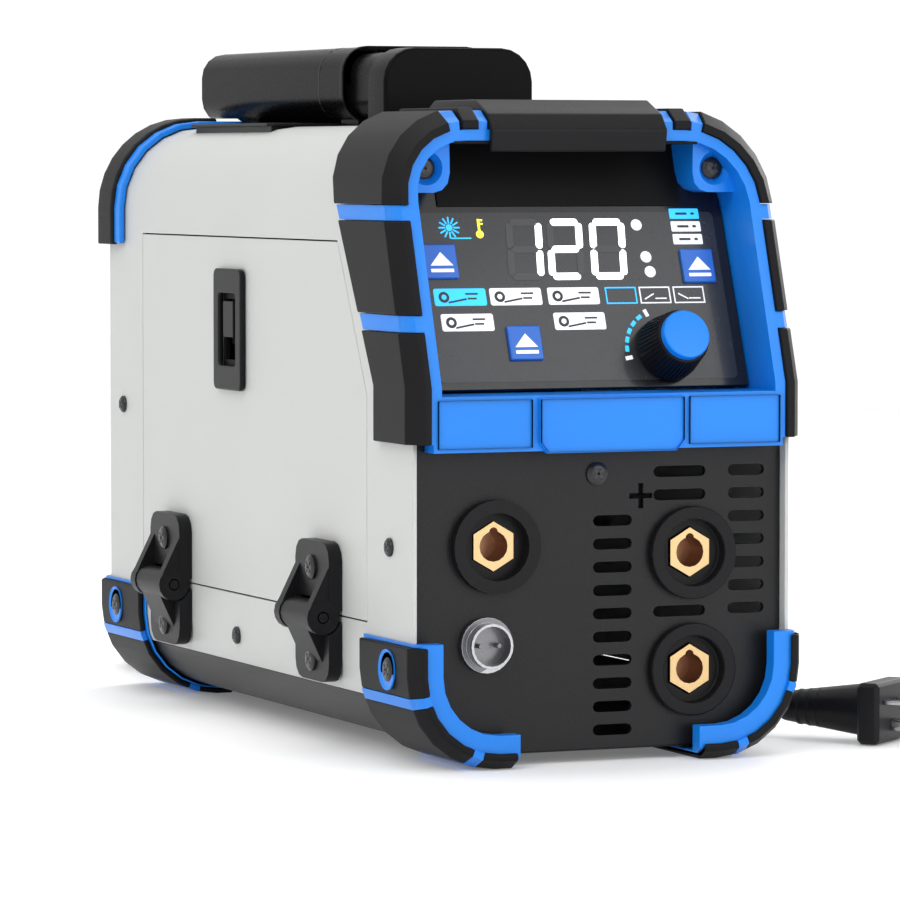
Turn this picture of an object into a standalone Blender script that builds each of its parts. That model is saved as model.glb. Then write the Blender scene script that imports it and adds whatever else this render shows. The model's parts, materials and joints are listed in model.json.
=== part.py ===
"""A compact MIG welding machine: sheet casing, control hood, wire drive, mains cord.

Sizes below are in millimetres and the helpers turn them into metres. The front
faces -Y, the wire compartment door is on the -X side, and +Z is up.
"""

from math import atan, cos, pi, radians, sin

import bmesh
import bpy
from mathutils import Matrix, Vector

MM = 0.001
GAP = 0.3

# Casing: a rounded box, seen from the front.
HALF_W = 74.6
TOP = 231.0
ROUND = 33.0
SIDE_BOTTOM = 23.0
LOWEST = 3.4
LOW_ROUND = 30.6
WALL = 1.5
FRONT = -163.0
REAR = 163.0

# The end panels sit just inside the casing.
END_HALF = HALF_W - WALL - GAP
END_LOW = LOWEST + WALL + GAP
END_ROUND = LOW_ROUND - WALL - GAP

# Control hood: a ring that leans back above the fascia.
HOOD_BOTTOM = 117.0
BEND = 137.0
LEDGE = 134.0
FASCIA_BOTTOM = 114.0
HOOD_FACE = -169.0
HOOD_LEAN = 0.33
HOOD_REAR = -131.0
HOOD_REAR_LEAN = 0.577
CASING_LEAN = 0.5
HOOD_HALF = 70.0
HOOD_TOP = 229.0
HOOD_ROUND = 26.0
HOOD_LIP = 4.0
PAD_OUT = 8.0

# Control panel plane.
PANEL_Y = -147.7
PANEL_LEAN = 0.374
PANEL_THICK = 2.5

# Side door and its hinges.
DOOR_REAR = 122.5
DOOR_FRONT = -118.8
DOOR_BOTTOM = 50.5
DOOR_TOP = 188.0
HINGE_X = -82.3
HINGE_Z = 50.0
HINGE_Y = (82.0, -78.5)
BARREL_R = 6.4
LATCH_Y = 19.0
LATCH_Z = 152.5

# Front sockets (x, z) and the ventilation slots.
SOCKETS = {"left": (-41.4, 79.5), "upper": (36.7, 75.2), "lower": (36.7, 32.5)}
SOCKET_R = 17.0
CONNECTOR = (-45.3, 44.2)
SLOT_PITCH = 8.45

# Wire compartment.
DIVIDER_X = -8.0
SPOOL_Y, SPOOL_Z = 55.0, 112.0
DRIVE_Y, DRIVE_Z = -62.0, 92.0
ROLL_R = 15.0
IDLER_R = 9.0

# Handle.
GRIP_HALF = 31.0
GRIP_TOP = 262.0
WELL_Y = (35.5, 121.0)

# Mains cord.
CORD_D = 8.4
GLAND = (42.0, 40.0)
COIL_CENTRE = (10.0, 231.0)
COIL_MEAN_R = 43.0
COIL_HALF_WIDTH = 8.6
COIL_HEIGHT = 25.8

# The frame's origin is under the middle of the machine's box, hinges included.
SHIFT_X = 5.35

for old in list(bpy.data.objects):
    bpy.data.objects.remove(old, do_unlink=True)

machine = bpy.data.collections.new("mig_welding_machine")
cutters = bpy.data.collections.new("cutters")
for group in (machine, cutters):
    bpy.context.scene.collection.children.link(group)


def material(name, colour, roughness, metallic=0.0):
    made = bpy.data.materials.new(name)
    made.use_nodes = True
    shader = made.node_tree.nodes["Principled BSDF"]
    shader.inputs["Base Color"].default_value = (*colour, 1.0)
    shader.inputs["Roughness"].default_value = roughness
    shader.inputs["Metallic"].default_value = metallic
    return made


GREY = material("grey_powder_coat", (0.62, 0.63, 0.62), 0.5)
BLACK = material("black_plastic", (0.025, 0.025, 0.027), 0.5)
BLUE = material("blue_plastic", (0.02, 0.17, 0.75), 0.4)
BRASS = material("brass", (0.78, 0.57, 0.25), 0.3, 1.0)
STEEL = material("steel", (0.6, 0.6, 0.62), 0.3, 1.0)
DARK = material("black_steel", (0.03, 0.03, 0.03), 0.5)
PANEL = material("control_panel", (0.01, 0.01, 0.012), 0.2)
RUBBER = material("black_rubber", (0.02, 0.02, 0.02), 0.7)


# ---------------------------------------------------------------- helpers


def add(name, mesh, finish, where=machine):
    """Puts a mesh given in millimetres into the scene as one object, in metres."""
    mesh.transform(Matrix.Scale(MM, 4))
    mesh.materials.clear()
    mesh.materials.append(finish)
    made = bpy.data.objects.new(name, mesh)
    where.objects.link(made)
    if where is cutters:
        made.hide_render = True
        made.display_type = "WIRE"
    return made


def from_bmesh(name, bm, finish, where=machine):
    bmesh.ops.recalc_face_normals(bm, faces=bm.faces)
    mesh = bpy.data.meshes.new(name)
    bm.to_mesh(mesh)
    bm.free()
    return add(name, mesh, finish, where)


def box(name, low, high, finish, bevel=0.0, where=machine):
    bm = bmesh.new()
    bmesh.ops.create_cube(bm, size=1.0)
    low, high = Vector(low), Vector(high)
    bmesh.ops.scale(bm, vec=high - low, verts=bm.verts)
    bmesh.ops.translate(bm, vec=(low + high) / 2, verts=bm.verts)
    if bevel:
        bmesh.ops.bevel(
            bm, geom=bm.edges[:], offset=bevel, segments=1, affect="EDGES", profile=0.5
        )
    return from_bmesh(name, bm, finish, where)


TURN = {"x": Matrix.Rotation(pi / 2, 4, "Y"), "y": Matrix.Rotation(-pi / 2, 4, "X"), "z": Matrix()}


def cylinder(name, centre, r, depth, axis, finish, sides=24, r_end=None, where=machine):
    """A cylinder or cone along x, y or z. r_end is the radius at its +axis end."""
    bm = bmesh.new()
    bmesh.ops.create_cone(
        bm,
        cap_ends=True,
        segments=sides,
        radius1=r,
        radius2=r if r_end is None else r_end,
        depth=depth,
    )
    bmesh.ops.transform(bm, matrix=Matrix.Translation(centre) @ TURN[axis], verts=bm.verts)
    return from_bmesh(name, bm, finish, where)


def arc(x, z, r, start, stop, steps):
    """Points on an arc in the x-z plane; angles in degrees from +x towards +z."""
    turn = [radians(start + (stop - start) * i / steps) for i in range(steps + 1)]
    return [(x + r * cos(a), z + r * sin(a)) for a in turn]


def rounded(x0, x1, z0, z1, r, steps=5):
    """A rounded rectangle, anticlockwise. r is one radius, or four from lower right."""
    rs = (r,) * 4 if not isinstance(r, tuple) else r
    corners = ((x1, z0, -90, -1, 1), (x1, z1, 0, -1, -1), (x0, z1, 90, 1, -1), (x0, z0, 180, 1, 1))
    points = []
    for (x, z, start, sx, sz), size in zip(corners, rs):
        if size:
            points += arc(x + sx * size, z + sz * size, size, start, start + 90, steps)
        else:
            points.append((x, z))
    return points


def plate_mesh(loops, y0, y1):
    """A flat sheet between y0 and y1; the first loop is its edge, the others are holes."""
    curve = bpy.data.curves.new("outline", "CURVE")
    curve.dimensions = "2D"
    curve.fill_mode = "BOTH"
    curve.extrude = (y1 - y0) / 2
    for loop in loops:
        spline = curve.splines.new("POLY")
        spline.points.add(len(loop) - 1)
        for point, (x, z) in zip(spline.points, loop):
            point.co = (x, z, 0.0, 1.0)
        spline.use_cyclic_u = True
    holder = bpy.data.objects.new("outline", curve)
    bpy.context.scene.collection.objects.link(holder)
    graph = bpy.context.evaluated_depsgraph_get()
    mesh = bpy.data.meshes.new_from_object(holder.evaluated_get(graph))
    bpy.data.objects.remove(holder)
    bm = bmesh.new()
    bm.from_mesh(mesh)
    bmesh.ops.remove_doubles(bm, verts=bm.verts, dist=0.001)
    upright = Matrix.Translation((0, (y0 + y1) / 2, 0)) @ Matrix.Rotation(pi / 2, 4, "X")
    bmesh.ops.transform(bm, matrix=upright, verts=bm.verts)
    return bm


def plate(name, loops, y0, y1, finish, lean=None, where=machine):
    """plate_mesh as an object. lean is (z, slope): above z the sheet leans back."""
    bm = plate_mesh(loops, y0, y1)
    if lean:
        z, slope = lean
        geometry = bm.verts[:] + bm.edges[:] + bm.faces[:]
        bmesh.ops.bisect_plane(bm, geom=geometry, plane_co=(0, 0, z), plane_no=(0, 0, 1))
        for vert in bm.verts:
            vert.co.y += max(0.0, vert.co.z - z) * slope
    return from_bmesh(name, bm, finish, where)


def side_plate(name, loops, x0, x1, finish, where=machine):
    """A flat sheet between x0 and x1, from loops of (y, z)."""
    bm = plate_mesh(loops, -x1, -x0)
    bmesh.ops.transform(bm, matrix=Matrix.Rotation(pi / 2, 4, "Z"), verts=bm.verts)
    return from_bmesh(name, bm, finish, where)


def boolean(target, tool, operation="DIFFERENCE"):
    """Cuts the tool from the target, or joins it on, at once; the tool is then removed."""
    modifier = target.modifiers.new("join" if operation == "UNION" else "cut", "BOOLEAN")
    modifier.operation = operation
    modifier.object = tool
    graph = bpy.context.evaluated_depsgraph_get()
    mesh = bpy.data.meshes.new_from_object(target.evaluated_get(graph))
    target.modifiers.clear()
    target.data = mesh
    bpy.data.objects.remove(tool)
    return target


def cut(target, *tools):
    for tool in tools:
        boolean(target, tool)
    return target


def join(target, *tools):
    for tool in tools:
        boolean(target, tool, "UNION")
    return target


def sweep(name, path, section, finish, where=machine):
    """A bar along path, a list of (x, z, nx, nz). section(z) gives its (n, y) corners."""
    bm = bmesh.new()
    rings = [
        [bm.verts.new((x + n * nx, y, z + n * nz)) for n, y in section(z)]
        for x, z, nx, nz in path
    ]
    for one, two in zip(rings, rings[1:]):
        count = len(one)
        for i in range(count):
            j = (i + 1) % count
            bm.faces.new((one[i], one[j], two[j], two[i]))
    bm.faces.new(rings[0])
    bm.faces.new(reversed(rings[-1]))
    return from_bmesh(name, bm, finish, where)


def mirrored(path):
    return [(-x, z, -nx, nz) for x, z, nx, nz in path]


# ---------------------------------------------------------------- hood planes


def hood_face(z):
    return HOOD_FACE + max(0.0, z - BEND) * HOOD_LEAN


def hood_rear(z):
    return HOOD_REAR + max(0.0, z - BEND) * HOOD_REAR_LEAN


def casing_edge(z):
    """The casing's front edge, under the hood's skirt."""
    return FRONT + max(0.0, z - HOOD_BOTTOM) * CASING_LEAN


def panel_plane(z):
    return PANEL_Y + (z - BEND) * PANEL_LEAN


def pad_section(z):
    y0, y1, edge = hood_face(z) - 1.5, hood_rear(z), casing_edge(z) - 0.8
    return [
        (GAP, y0), (3.2, y0), (PAD_OUT, y0 + 7), (PAD_OUT, y1 - 2.5), (PAD_OUT - 2, y1),
        (5.0, y1), (5.0, edge), (GAP, edge),
    ]


def rib_section(z):
    y0, y1, edge = hood_face(z), hood_rear(z) - 2, casing_edge(z) - 0.8
    return [(-1.0, y0), (3, y0), (7, y0 + 6), (7, y1), (5.0, y1), (5.0, edge), (-1.0, edge)]


def ring_section(z):
    y0, y1 = hood_face(z), panel_plane(max(z, BEND)) + 6
    if z > BEND:
        y1 = min(y1, casing_edge(z) - 0.8)
    return [(-HOOD_LIP, y0), (0, y0), (0, y1), (-HOOD_LIP, y1)]


def bar_section(z):
    y0, y1, edge = hood_face(z), hood_rear(z) - 4, casing_edge(z) - 0.8
    return [
        (-8, y0 - GAP), (-8, y0 - 2.5), (0, y0 - 4), (6, y0 + 1), (11, y0 + 13), (11, y1 - 6),
        (8, y1), (5, y1), (5, edge), (GAP, edge), (GAP, y0 - GAP),
    ]


SHOULDER_Z = HOOD_TOP - HOOD_ROUND
SHOULDER_X = HOOD_HALF - HOOD_ROUND


SIDE_RUN = SHOULDER_Z - HOOD_BOTTOM
TURN_RUN = HOOD_ROUND * pi / 2


def hood_point(run):
    """The point and outward direction at this distance along the hood's left outline."""
    if run <= SIDE_RUN:
        return (-HOOD_HALF, HOOD_BOTTOM + run, -1, 0)
    turn = min((run - SIDE_RUN) / HOOD_ROUND, pi / 2)
    nx, nz = -cos(turn), sin(turn)
    beyond = max(0.0, run - SIDE_RUN - TURN_RUN)
    return (-SHOULDER_X + HOOD_ROUND * nx + beyond, SHOULDER_Z + HOOD_ROUND * nz, nx, nz)


def hood_path(start, stop):
    """Stations from start to stop: up the side, round the shoulder and along the top."""
    bends = [BEND - HOOD_BOTTOM] + [SIDE_RUN + TURN_RUN * i / 6 for i in range(7)]
    return [hood_point(run) for run in [start] + [r for r in bends if start < r < stop] + [stop]]


HOOD_RUN = SIDE_RUN + TURN_RUN + SHOULDER_X
# Where the ribs stand along the outline, and the pads between them.
RIBS = ((39.8, 45.6), (79.4, 84.8), (120.6, 124.6), (132.1, 135.4))
PADS = {"lower": (0.0, 39.5), "middle": (45.9, 79.1), "shoulder": (85.1, 120.3)}


# ---------------------------------------------------------------- casing


def make_tray():
    """The black bottom pan: a shallow channel with rounded lower corners."""
    r = LOW_ROUND - 0.6
    inset = HALF_W - 0.6
    outer = rounded(-inset, inset, LOWEST + 0.6, 3 * r, r, 6)
    inner = rounded(-inset + 1.5, inset - 1.5, LOWEST + 2.1, 3 * r, r - 1.5, 6)
    tray = plate("base_tray", [outer], -156.0, 156.0, DARK)
    hollow = plate("tray_hollow", [inner], -170.0, 170.0, DARK, where=cutters)
    lid = box("tray_lid", (-90, -170, SIDE_BOTTOM - GAP), (90, 170, 120), DARK, where=cutters)
    return cut(tray, hollow, lid)


def make_casing():
    """The grey cover: two sides and the top in one bent sheet."""
    low = LOW_ROUND
    outer = rounded(-HALF_W, HALF_W, LOWEST, TOP, (low, ROUND, ROUND, low), 6)
    inset = HALF_W - WALL
    low, high = LOW_ROUND - WALL, ROUND - WALL
    inner = rounded(-inset, inset, LOWEST + WALL, TOP - WALL, (low, high, high, low), 6)
    casing = plate("casing", [outer], FRONT, REAR, GREY)
    hollow = plate("casing_hollow", [inner], -200.0, 200.0, GREY, where=cutters)
    below = box("below", (-90, -200, -60), (90, 200, SIDE_BOTTOM), GREY, where=cutters)
    # The front edge leans back under the hood.
    lean = [(-230, HOOD_BOTTOM), (FRONT, HOOD_BOTTOM), (casing_edge(260), 260), (-230, 260)]
    front = side_plate("lean_cut", [lean], -90, 90, GREY, where=cutters)
    door = side_plate("door_cut", [door_outline(GAP + 0.2)], -90, -60, GREY, where=cutters)
    well = box("well_cut", (-52.3, WELL_Y[0] - GAP, 215), (52.3, WELL_Y[1] + GAP, 240), GREY, where=cutters)
    return cut(casing, hollow, below, front, door, well)


def door_outline(grow=0.0):
    g = grow
    return [
        (DOOR_REAR + g, DOOR_BOTTOM - g), (DOOR_REAR + g, DOOR_TOP + g), (-90.0 - g / 2, DOOR_TOP + g),
        (-94.0 - g, 181.0 + g / 2), (DOOR_FRONT - g, 132.8 + g / 2), (DOOR_FRONT - g, DOOR_BOTTOM - g),
    ]


def make_door():
    door = side_plate("side_door", [door_outline()], -HALF_W, -HALF_W + WALL, GREY)
    window = [(LATCH_Y - 7.5, LATCH_Z - 12), (LATCH_Y + 7.5, LATCH_Z - 12),
              (LATCH_Y + 7.5, LATCH_Z + 12), (LATCH_Y - 7.5, LATCH_Z + 12)]
    return cut(door, side_plate("window_cut", [window], -90, -60, GREY, where=cutters))


def make_latch():
    """A recessed slide latch: a frame on the door and a slider that drops to release."""
    edge = rounded(LATCH_Y - 15, LATCH_Y + 15, LATCH_Z - 23.5, LATCH_Z + 23.5, 2.5, 2)
    hole = rounded(LATCH_Y - 9, LATCH_Y + 9, LATCH_Z - 14, LATCH_Z + 14, 1.5, 2)
    x0 = -HALF_W - 2.6
    side_plate("latch_frame", [edge, hole], x0, -HALF_W - GAP, BLACK)
    grip = box("latch_slider", (x0 + 0.6, LATCH_Y - 5.5, LATCH_Z - 3),
               (-HALF_W + WALL + 3.3, LATCH_Y + 5.5, LATCH_Z + 11), BLACK)
    bolt = box("bolt", (-HALF_W + WALL + 0.6, LATCH_Y - 6.5, LATCH_Z - 6),
               (-HALF_W + WALL + 3.3, LATCH_Y + 6.5, DOOR_TOP - 1), BLACK)
    join(grip, bolt)


def make_hinge(name, y):
    """One door hinge: a door leaf with two ears, and a case leaf with knuckle and pin."""
    skin = -HALF_W - GAP
    half = 17.0

    def leaf(part, z0, z1, top):
        rs = (0, 7.0, 7.0, 0) if top else (7.0, 0, 0, 7.0)
        return side_plate(part, [rounded(y - half, y + half, z0, z1, rs, 3)], skin - 5.2, skin, BLACK)

    door_leaf = leaf(f"{name}_door_leaf", 52.0, 77.5, True)
    cheek = [(skin - 1, 70), (skin - 4.4, 70), (HINGE_X - 5.2, 53.4), (HINGE_X - 3, 51.3), (skin - 1, 51.3)]
    for end in (-1, 1):
        middle = y + end * 14.4
        ear = cylinder("ear", (HINGE_X, middle, HINGE_Z), BARREL_R, 5.2, "y", BLACK, 16, where=cutters)
        web = plate("web", [cheek], middle - 2.2, middle + 2.2, BLACK, where=cutters)
        join(ear, web)
        boolean(door_leaf, ear, "UNION")
        hole = cylinder("hole", (HINGE_X, middle, HINGE_Z), 2.3, 8, "y", BLACK, 12, where=cutters)
        boolean(door_leaf, hole)
    heel = cylinder("heel", (HINGE_X, y, HINGE_Z), BARREL_R + 0.6, 23.4, "y", BLACK, 16, where=cutters)
    boolean(door_leaf, heel)
    case_leaf = leaf(f"{name}_case_leaf", 25.5, 48.0, False)
    pocket = cylinder("pocket", (HINGE_X, y, HINGE_Z), BARREL_R + 0.6, 40, "y", BLACK, 16, where=cutters)
    boolean(case_leaf, pocket)
    knuckle = cylinder("knuckle", (HINGE_X, y, HINGE_Z), BARREL_R - 0.4, 22.6, "y", BLACK, 16, where=cutters)
    pin = cylinder("pin", (HINGE_X, y, HINGE_Z), 1.8, 34.4, "y", STEEL, 12, where=cutters)
    tail = [(skin - 2, 31), (skin - 2, 47.3), (HINGE_X - 4.4, 47.3), (HINGE_X - 3.6, 45), (skin - 4.4, 31)]
    tongue = plate("tongue", [tail], y - 10.5, y + 10.5, BLACK, where=cutters)
    join(case_leaf, tongue, knuckle, pin)


# ---------------------------------------------------------------- front


def slot(x0, x1, z, height=4.0):
    r = height / 2
    return arc(x1 - r, z, r, -90, 90, 4) + arc(x0 + r, z, r, 90, 270, 4)


def slot_row():
    """The front ventilation slots as (x0, x1, z)."""
    left = [(-2.5, 13.1, 87.6 - SLOT_PITCH * i) for i in range(10)]
    middle = [(21.6, 42.7, z) for z in (104.9, 96.4, 53.9)]
    right = [(51.6, 66.5, 104.9 - SLOT_PITCH * i) for i in range(7)]
    return left + middle + right


def make_front_panel():
    edge = rounded(-END_HALF, END_HALF, END_LOW, HOOD_BOTTOM - GAP, (END_ROUND, 0, 0, END_ROUND), 6)
    x, z, arm, half = 16.6, 96.3, 4.6, 1.0
    plus = [
        (x - half, z - arm), (x + half, z - arm), (x + half, z - half), (x + arm, z - half),
        (x + arm, z + half), (x + half, z + half), (x + half, z + arm), (x - half, z + arm),
        (x - half, z + half), (x - arm, z + half), (x - arm, z - half), (x - half, z - half),
    ]
    holes = [slot(*one) for one in slot_row() if not near_socket(one)]
    rounds = [arc(sx, sz, 14.3, 0, 345, 23) for sx, sz in SOCKETS.values()]
    rounds.append(arc(*CONNECTOR, 8.5, 0, 345, 23))
    plate("front_panel", [edge, plus] + holes + rounds, -159.0, -157.0, DARK)


def near_socket(one):
    x0, x1, z = one
    return any(abs((x0 + x1) / 2 - sx) < 19 and abs(z - sz) < 13 for sx, sz in SOCKETS.values())


def make_socket(name, x, z):
    """A panel socket: a cupped plastic ring and a hexagonal brass insert with a keyed bore."""
    ring = cylinder(f"socket_{name}_ring", (x, -160.9, z), SOCKET_R, 3.2, "y", BLACK, 28)
    barrel = cylinder("barrel", (x, -155, z), 14.0, 10.0, "y", BLACK, 24, where=cutters)
    join(ring, barrel)
    cup = cylinder("cup", (x, -164, z), 12.3, 13.0, "y", BLACK, 24, where=cutters)
    seat = cylinder("seat", (x, -162, z), 9.3, 30, "y", BLACK, 6, where=cutters)
    cut(ring, cup, seat)
    insert = cylinder(f"socket_{name}_insert", (x, -151.4, z), 9.0, 13.8, "y", BRASS, 6)
    bore = cylinder("bore", (x, -155, z), 5.5, 16.0, "y", BRASS, 16, where=cutters)
    key = cylinder("key", (x, -155.4, z + 5.2), 1.7, 15.0, "y", BRASS, 12, where=cutters)
    cut(insert, join(bore, key))


def make_connector():
    """The small two-pin control connector."""
    x, z = CONNECTOR
    shell = cylinder("control_connector", (x, -160.55, z), 10.1, 2.5, "y", STEEL, 24)
    tube = cylinder("tube", (x, -163.6, z), 8.2, 5.8, "y", STEEL, 24, where=cutters)
    neck = cylinder("neck", (x, -155, z), 8.0, 11.0, "y", STEEL, 20, where=cutters)
    join(shell, tube, neck)
    cut(shell, cylinder("cup", (x, -165, z), 7.2, 9.0, "y", STEEL, 20, where=cutters))
    pins = [
        cylinder("pin", (x + dx, -162.3, z), 0.9, 4.4, "y", STEEL, 8, where=cutters) for dx in (-3.6, 3.6)
    ]
    join(shell, *pins)


def make_hood():
    """The blue ring with its fascia and ribs; the black pads sit between the ribs."""
    side = hood_path(0, HOOD_RUN - 8)
    loop = side + list(reversed(mirrored(side)))
    frame = sweep("hood_frame", loop, ring_section, BLUE)
    fascia = box("fascia", (-69, HOOD_FACE, FASCIA_BOTTOM), (69, -160, LEDGE), BLUE, where=cutters)
    shelf = box("shelf", (-69, -161, 125), (69, panel_plane(BEND) + 5, LEDGE), BLUE, where=cutters)
    plaque = [(-28.5, 133), (-28.5, 117), (-25.5, 113.2), (25.5, 113.2), (28.5, 117), (28.5, 133)]
    plaque = plate("plaque", [plaque], HOOD_FACE - 1.5, HOOD_FACE + 1, BLUE, where=cutters)
    join(frame, fascia, shelf, plaque)
    for path in [hood_path(*ends) for ends in RIBS]:
        join(frame, sweep("rib", path, rib_section, BLUE, where=cutters))
        join(frame, sweep("rib", mirrored(path), rib_section, BLUE, where=cutters))
    for part, ends in PADS.items():
        path = hood_path(*ends)
        sweep(f"hood_pad_left_{part}", path, pad_section, BLACK)
        sweep(f"hood_pad_right_{part}", mirrored(path), pad_section, BLACK)
    sweep("hood_top_bar", [(x, HOOD_TOP, 0, 1) for x in (-35, 35)], bar_section, BLACK)


def on_panel(part):
    """Turns a piece made upright at the panel's foot so that it leans with the panel."""
    pivot = Matrix.Translation((0, PANEL_Y * MM, BEND * MM))
    part.data.transform(pivot @ Matrix.Rotation(-atan(PANEL_LEAN), 4, "X") @ pivot.inverted())
    return part


BUTTONS = {"left": (-51.0, 47.0), "centre": (-22.3, 15.5), "right": (51.9, 44.5)}
BUTTON_HALF = 6.9
KNOB = (33.9, 12.1)


def make_controls():
    """The control panel, three push buttons, and the knob on its encoder shaft."""
    panel_top = 226 - BEND
    edge = rounded(-65.4, 65.4, -1.7, panel_top - 2, (0, 21, 21, 0), 5)
    holes = [
        rounded(x - BUTTON_HALF, x + BUTTON_HALF, h - BUTTON_HALF, h + BUTTON_HALF, 1.0, 1)
        for x, h in BUTTONS.values()
    ]
    holes.append(arc(*KNOB, 4.5, 0, 345, 15))
    loops = [[(x, BEND + h) for x, h in loop] for loop in [edge] + holes]
    on_panel(plate("control_panel", loops, PANEL_Y, PANEL_Y + PANEL_THICK, PANEL))
    half = BUTTON_HALF - GAP
    for name, (x, h) in BUTTONS.items():
        z = BEND + h
        cap = box(f"button_{name}", (x - half, PANEL_Y - 1.6, z - half),
                  (x + half, PANEL_Y + 5, z + half), BLUE, 0.4)
        on_panel(cap)
    x, z = KNOB[0], BEND + KNOB[1]
    knob = cylinder("control_knob", (x, PANEL_Y - 8.7, z), 10.4, 15.2, "y", BLACK, 28, 12.4)
    cap = cylinder("cap", (x, PANEL_Y - 17.2, z), 9.2, 4.4, "y", BLUE, 28, 9.6, where=cutters)
    join(knob, cap)
    on_panel(knob)
    shaft = cylinder("encoder_shaft", (x, PANEL_Y + 3.4, z), 3.0, 8.2, "y", STEEL, 16)
    on_panel(shaft)


# ---------------------------------------------------------------- corner guards


def guard_path(height, reach):
    """The lower left corner: down the side, round, and along the bottom."""
    r = 27.0
    x0, z0 = -71.0, 7.0
    turn = [radians(180 + 15 * i) for i in range(7)]
    bend = [(x0 + r + r * cos(a), z0 + r + r * sin(a), cos(a), sin(a)) for a in turn]
    return [(x0, height, -1, 0)] + bend + [(reach, z0, 0, -1)]


def guard_section(face, back):
    """A channel that wraps the casing's edge: a front wall and a thin outer wall."""
    s = 1 if back > face else -1

    def section(_z):
        inner = face + s * 6.2
        return [
            (-5.5, face), (2.5, face), (4.6, face + s * 3.2), (4.6, back), (3.9, back), (3.9, inner),
            (-5.5, inner),
        ]

    return section


def pad_on_guard(face, back):
    """The black overmoulding outside the guard, chamfered round the front corner."""
    s = 1 if back > face else -1

    def section(_z):
        return [
            (1.0, face - s * 1.8), (3.6, face - s * 1.8), (7.0, face + s * 4), (7.0, back - s * 1.5),
            (4.9, back - s * 1.5), (4.9, face + s * 2.6), (3.0, face - s * GAP), (1.0, face - s * GAP),
        ]

    return section


def make_guards():
    """Blue guards and black pads on the four lower corners; the machine stands on them."""
    for end, face, back in (("front", -169.5, -118.0), ("rear", 169.5, 118.0)):
        for side in ("left", "right"):
            path = guard_path(46.0, -35.5)
            pad = guard_path(44.8, -37.0)
            if side == "right":
                path, pad = mirrored(path), mirrored(pad)
            sweep(f"guard_{end}_{side}", path, guard_section(face, back), BLUE)
            sweep(f"guard_pad_{end}_{side}", pad, pad_on_guard(face, back), RUBBER)


# ---------------------------------------------------------------- rear


def make_rear():
    """Rear panel with fan grille and switch opening, the rear frame, fan and switch."""
    high = ROUND - WALL - GAP
    edge = rounded(-END_HALF, END_HALF, END_LOW, TOP - WALL - GAP, (END_ROUND, high, high, END_ROUND), 6)
    fan = arc(0, 130, 40, 0, 350, 35)
    opening = rounded(37, 59, 66, 96, 0, 1)
    gland = arc(*GLAND, 8.0, 0, 345, 23)
    plate("rear_panel", [edge, fan, opening, gland], 157.0, 159.0, DARK)
    outer = rounded(-52, 52, 78, 182, 8, 3)
    inner = arc(0, 130, 39, 0, 350, 35)
    frame = plate("fan_housing", [outer, inner], 131.0, 156.7, BLACK)
    bars = [box("bar", (-40.5, 152.5, 129), (40.5, 156.7, 131), BLACK, where=cutters)]
    bars.append(box("bar", (-1, 152.5, 89.5), (1, 156.7, 170.5), BLACK, where=cutters))
    for r in (15.0, 27.0):
        ring = plate("ring", [arc(0, 130, r, 0, 345, 23), arc(0, 130, r - 2, 0, 345, 23)],
                     152.5, 156.7, BLACK, where=cutters)
        bars.append(ring)
    join(frame, *bars)
    rotor = cylinder("fan_rotor", (0, 142, 130), 14, 16, "y", BLACK, 20)
    for i in range(7):
        blade = box("blade", (-0.9, 135, 10), (0.9, 149, 37), BLACK, where=cutters)
        tilt = Matrix.Rotation(radians(28), 4, "Z")
        place = Matrix.Translation((0, 142, 130)) @ Matrix.Rotation(2 * pi * i / 7, 4, "Y")
        middle = Matrix.Translation((0, -142, 0))
        place.translation *= MM
        middle.translation *= MM
        blade.data.transform(place @ tilt @ middle)
        join(rotor, blade)
    side = [(-71.0, 184.0, -1, 0)] + [
        (-71.0 + 29 + 29 * cos(a), 198.4 + 29 * sin(a), cos(a), sin(a))
        for a in (radians(180 - 15 * i) for i in range(7))
    ]
    loop = side + list(reversed(mirrored(side)))
    sweep("rear_frame", loop, lambda _z: [
        (-5, 168), (3, 168), (6.5, 163), (6.5, 143), (4.0, 143), (4.0, 163.5), (-5, 163.5)
    ], BLUE)
    rocker = box("power_switch", (38.5, 158.5, 67.5), (57.5, 165.5, 94.5), BLACK, 1.0)
    boolean(rocker, box("hollow", (36, 163, 81.8), (60, 170, 97), BLACK, where=cutters))
    tip = Matrix.Translation((0, 160 * MM, 81 * MM))
    rocker.data.transform(tip @ Matrix.Rotation(radians(4), 4, "X") @ tip.inverted())


# ---------------------------------------------------------------- handle


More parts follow.
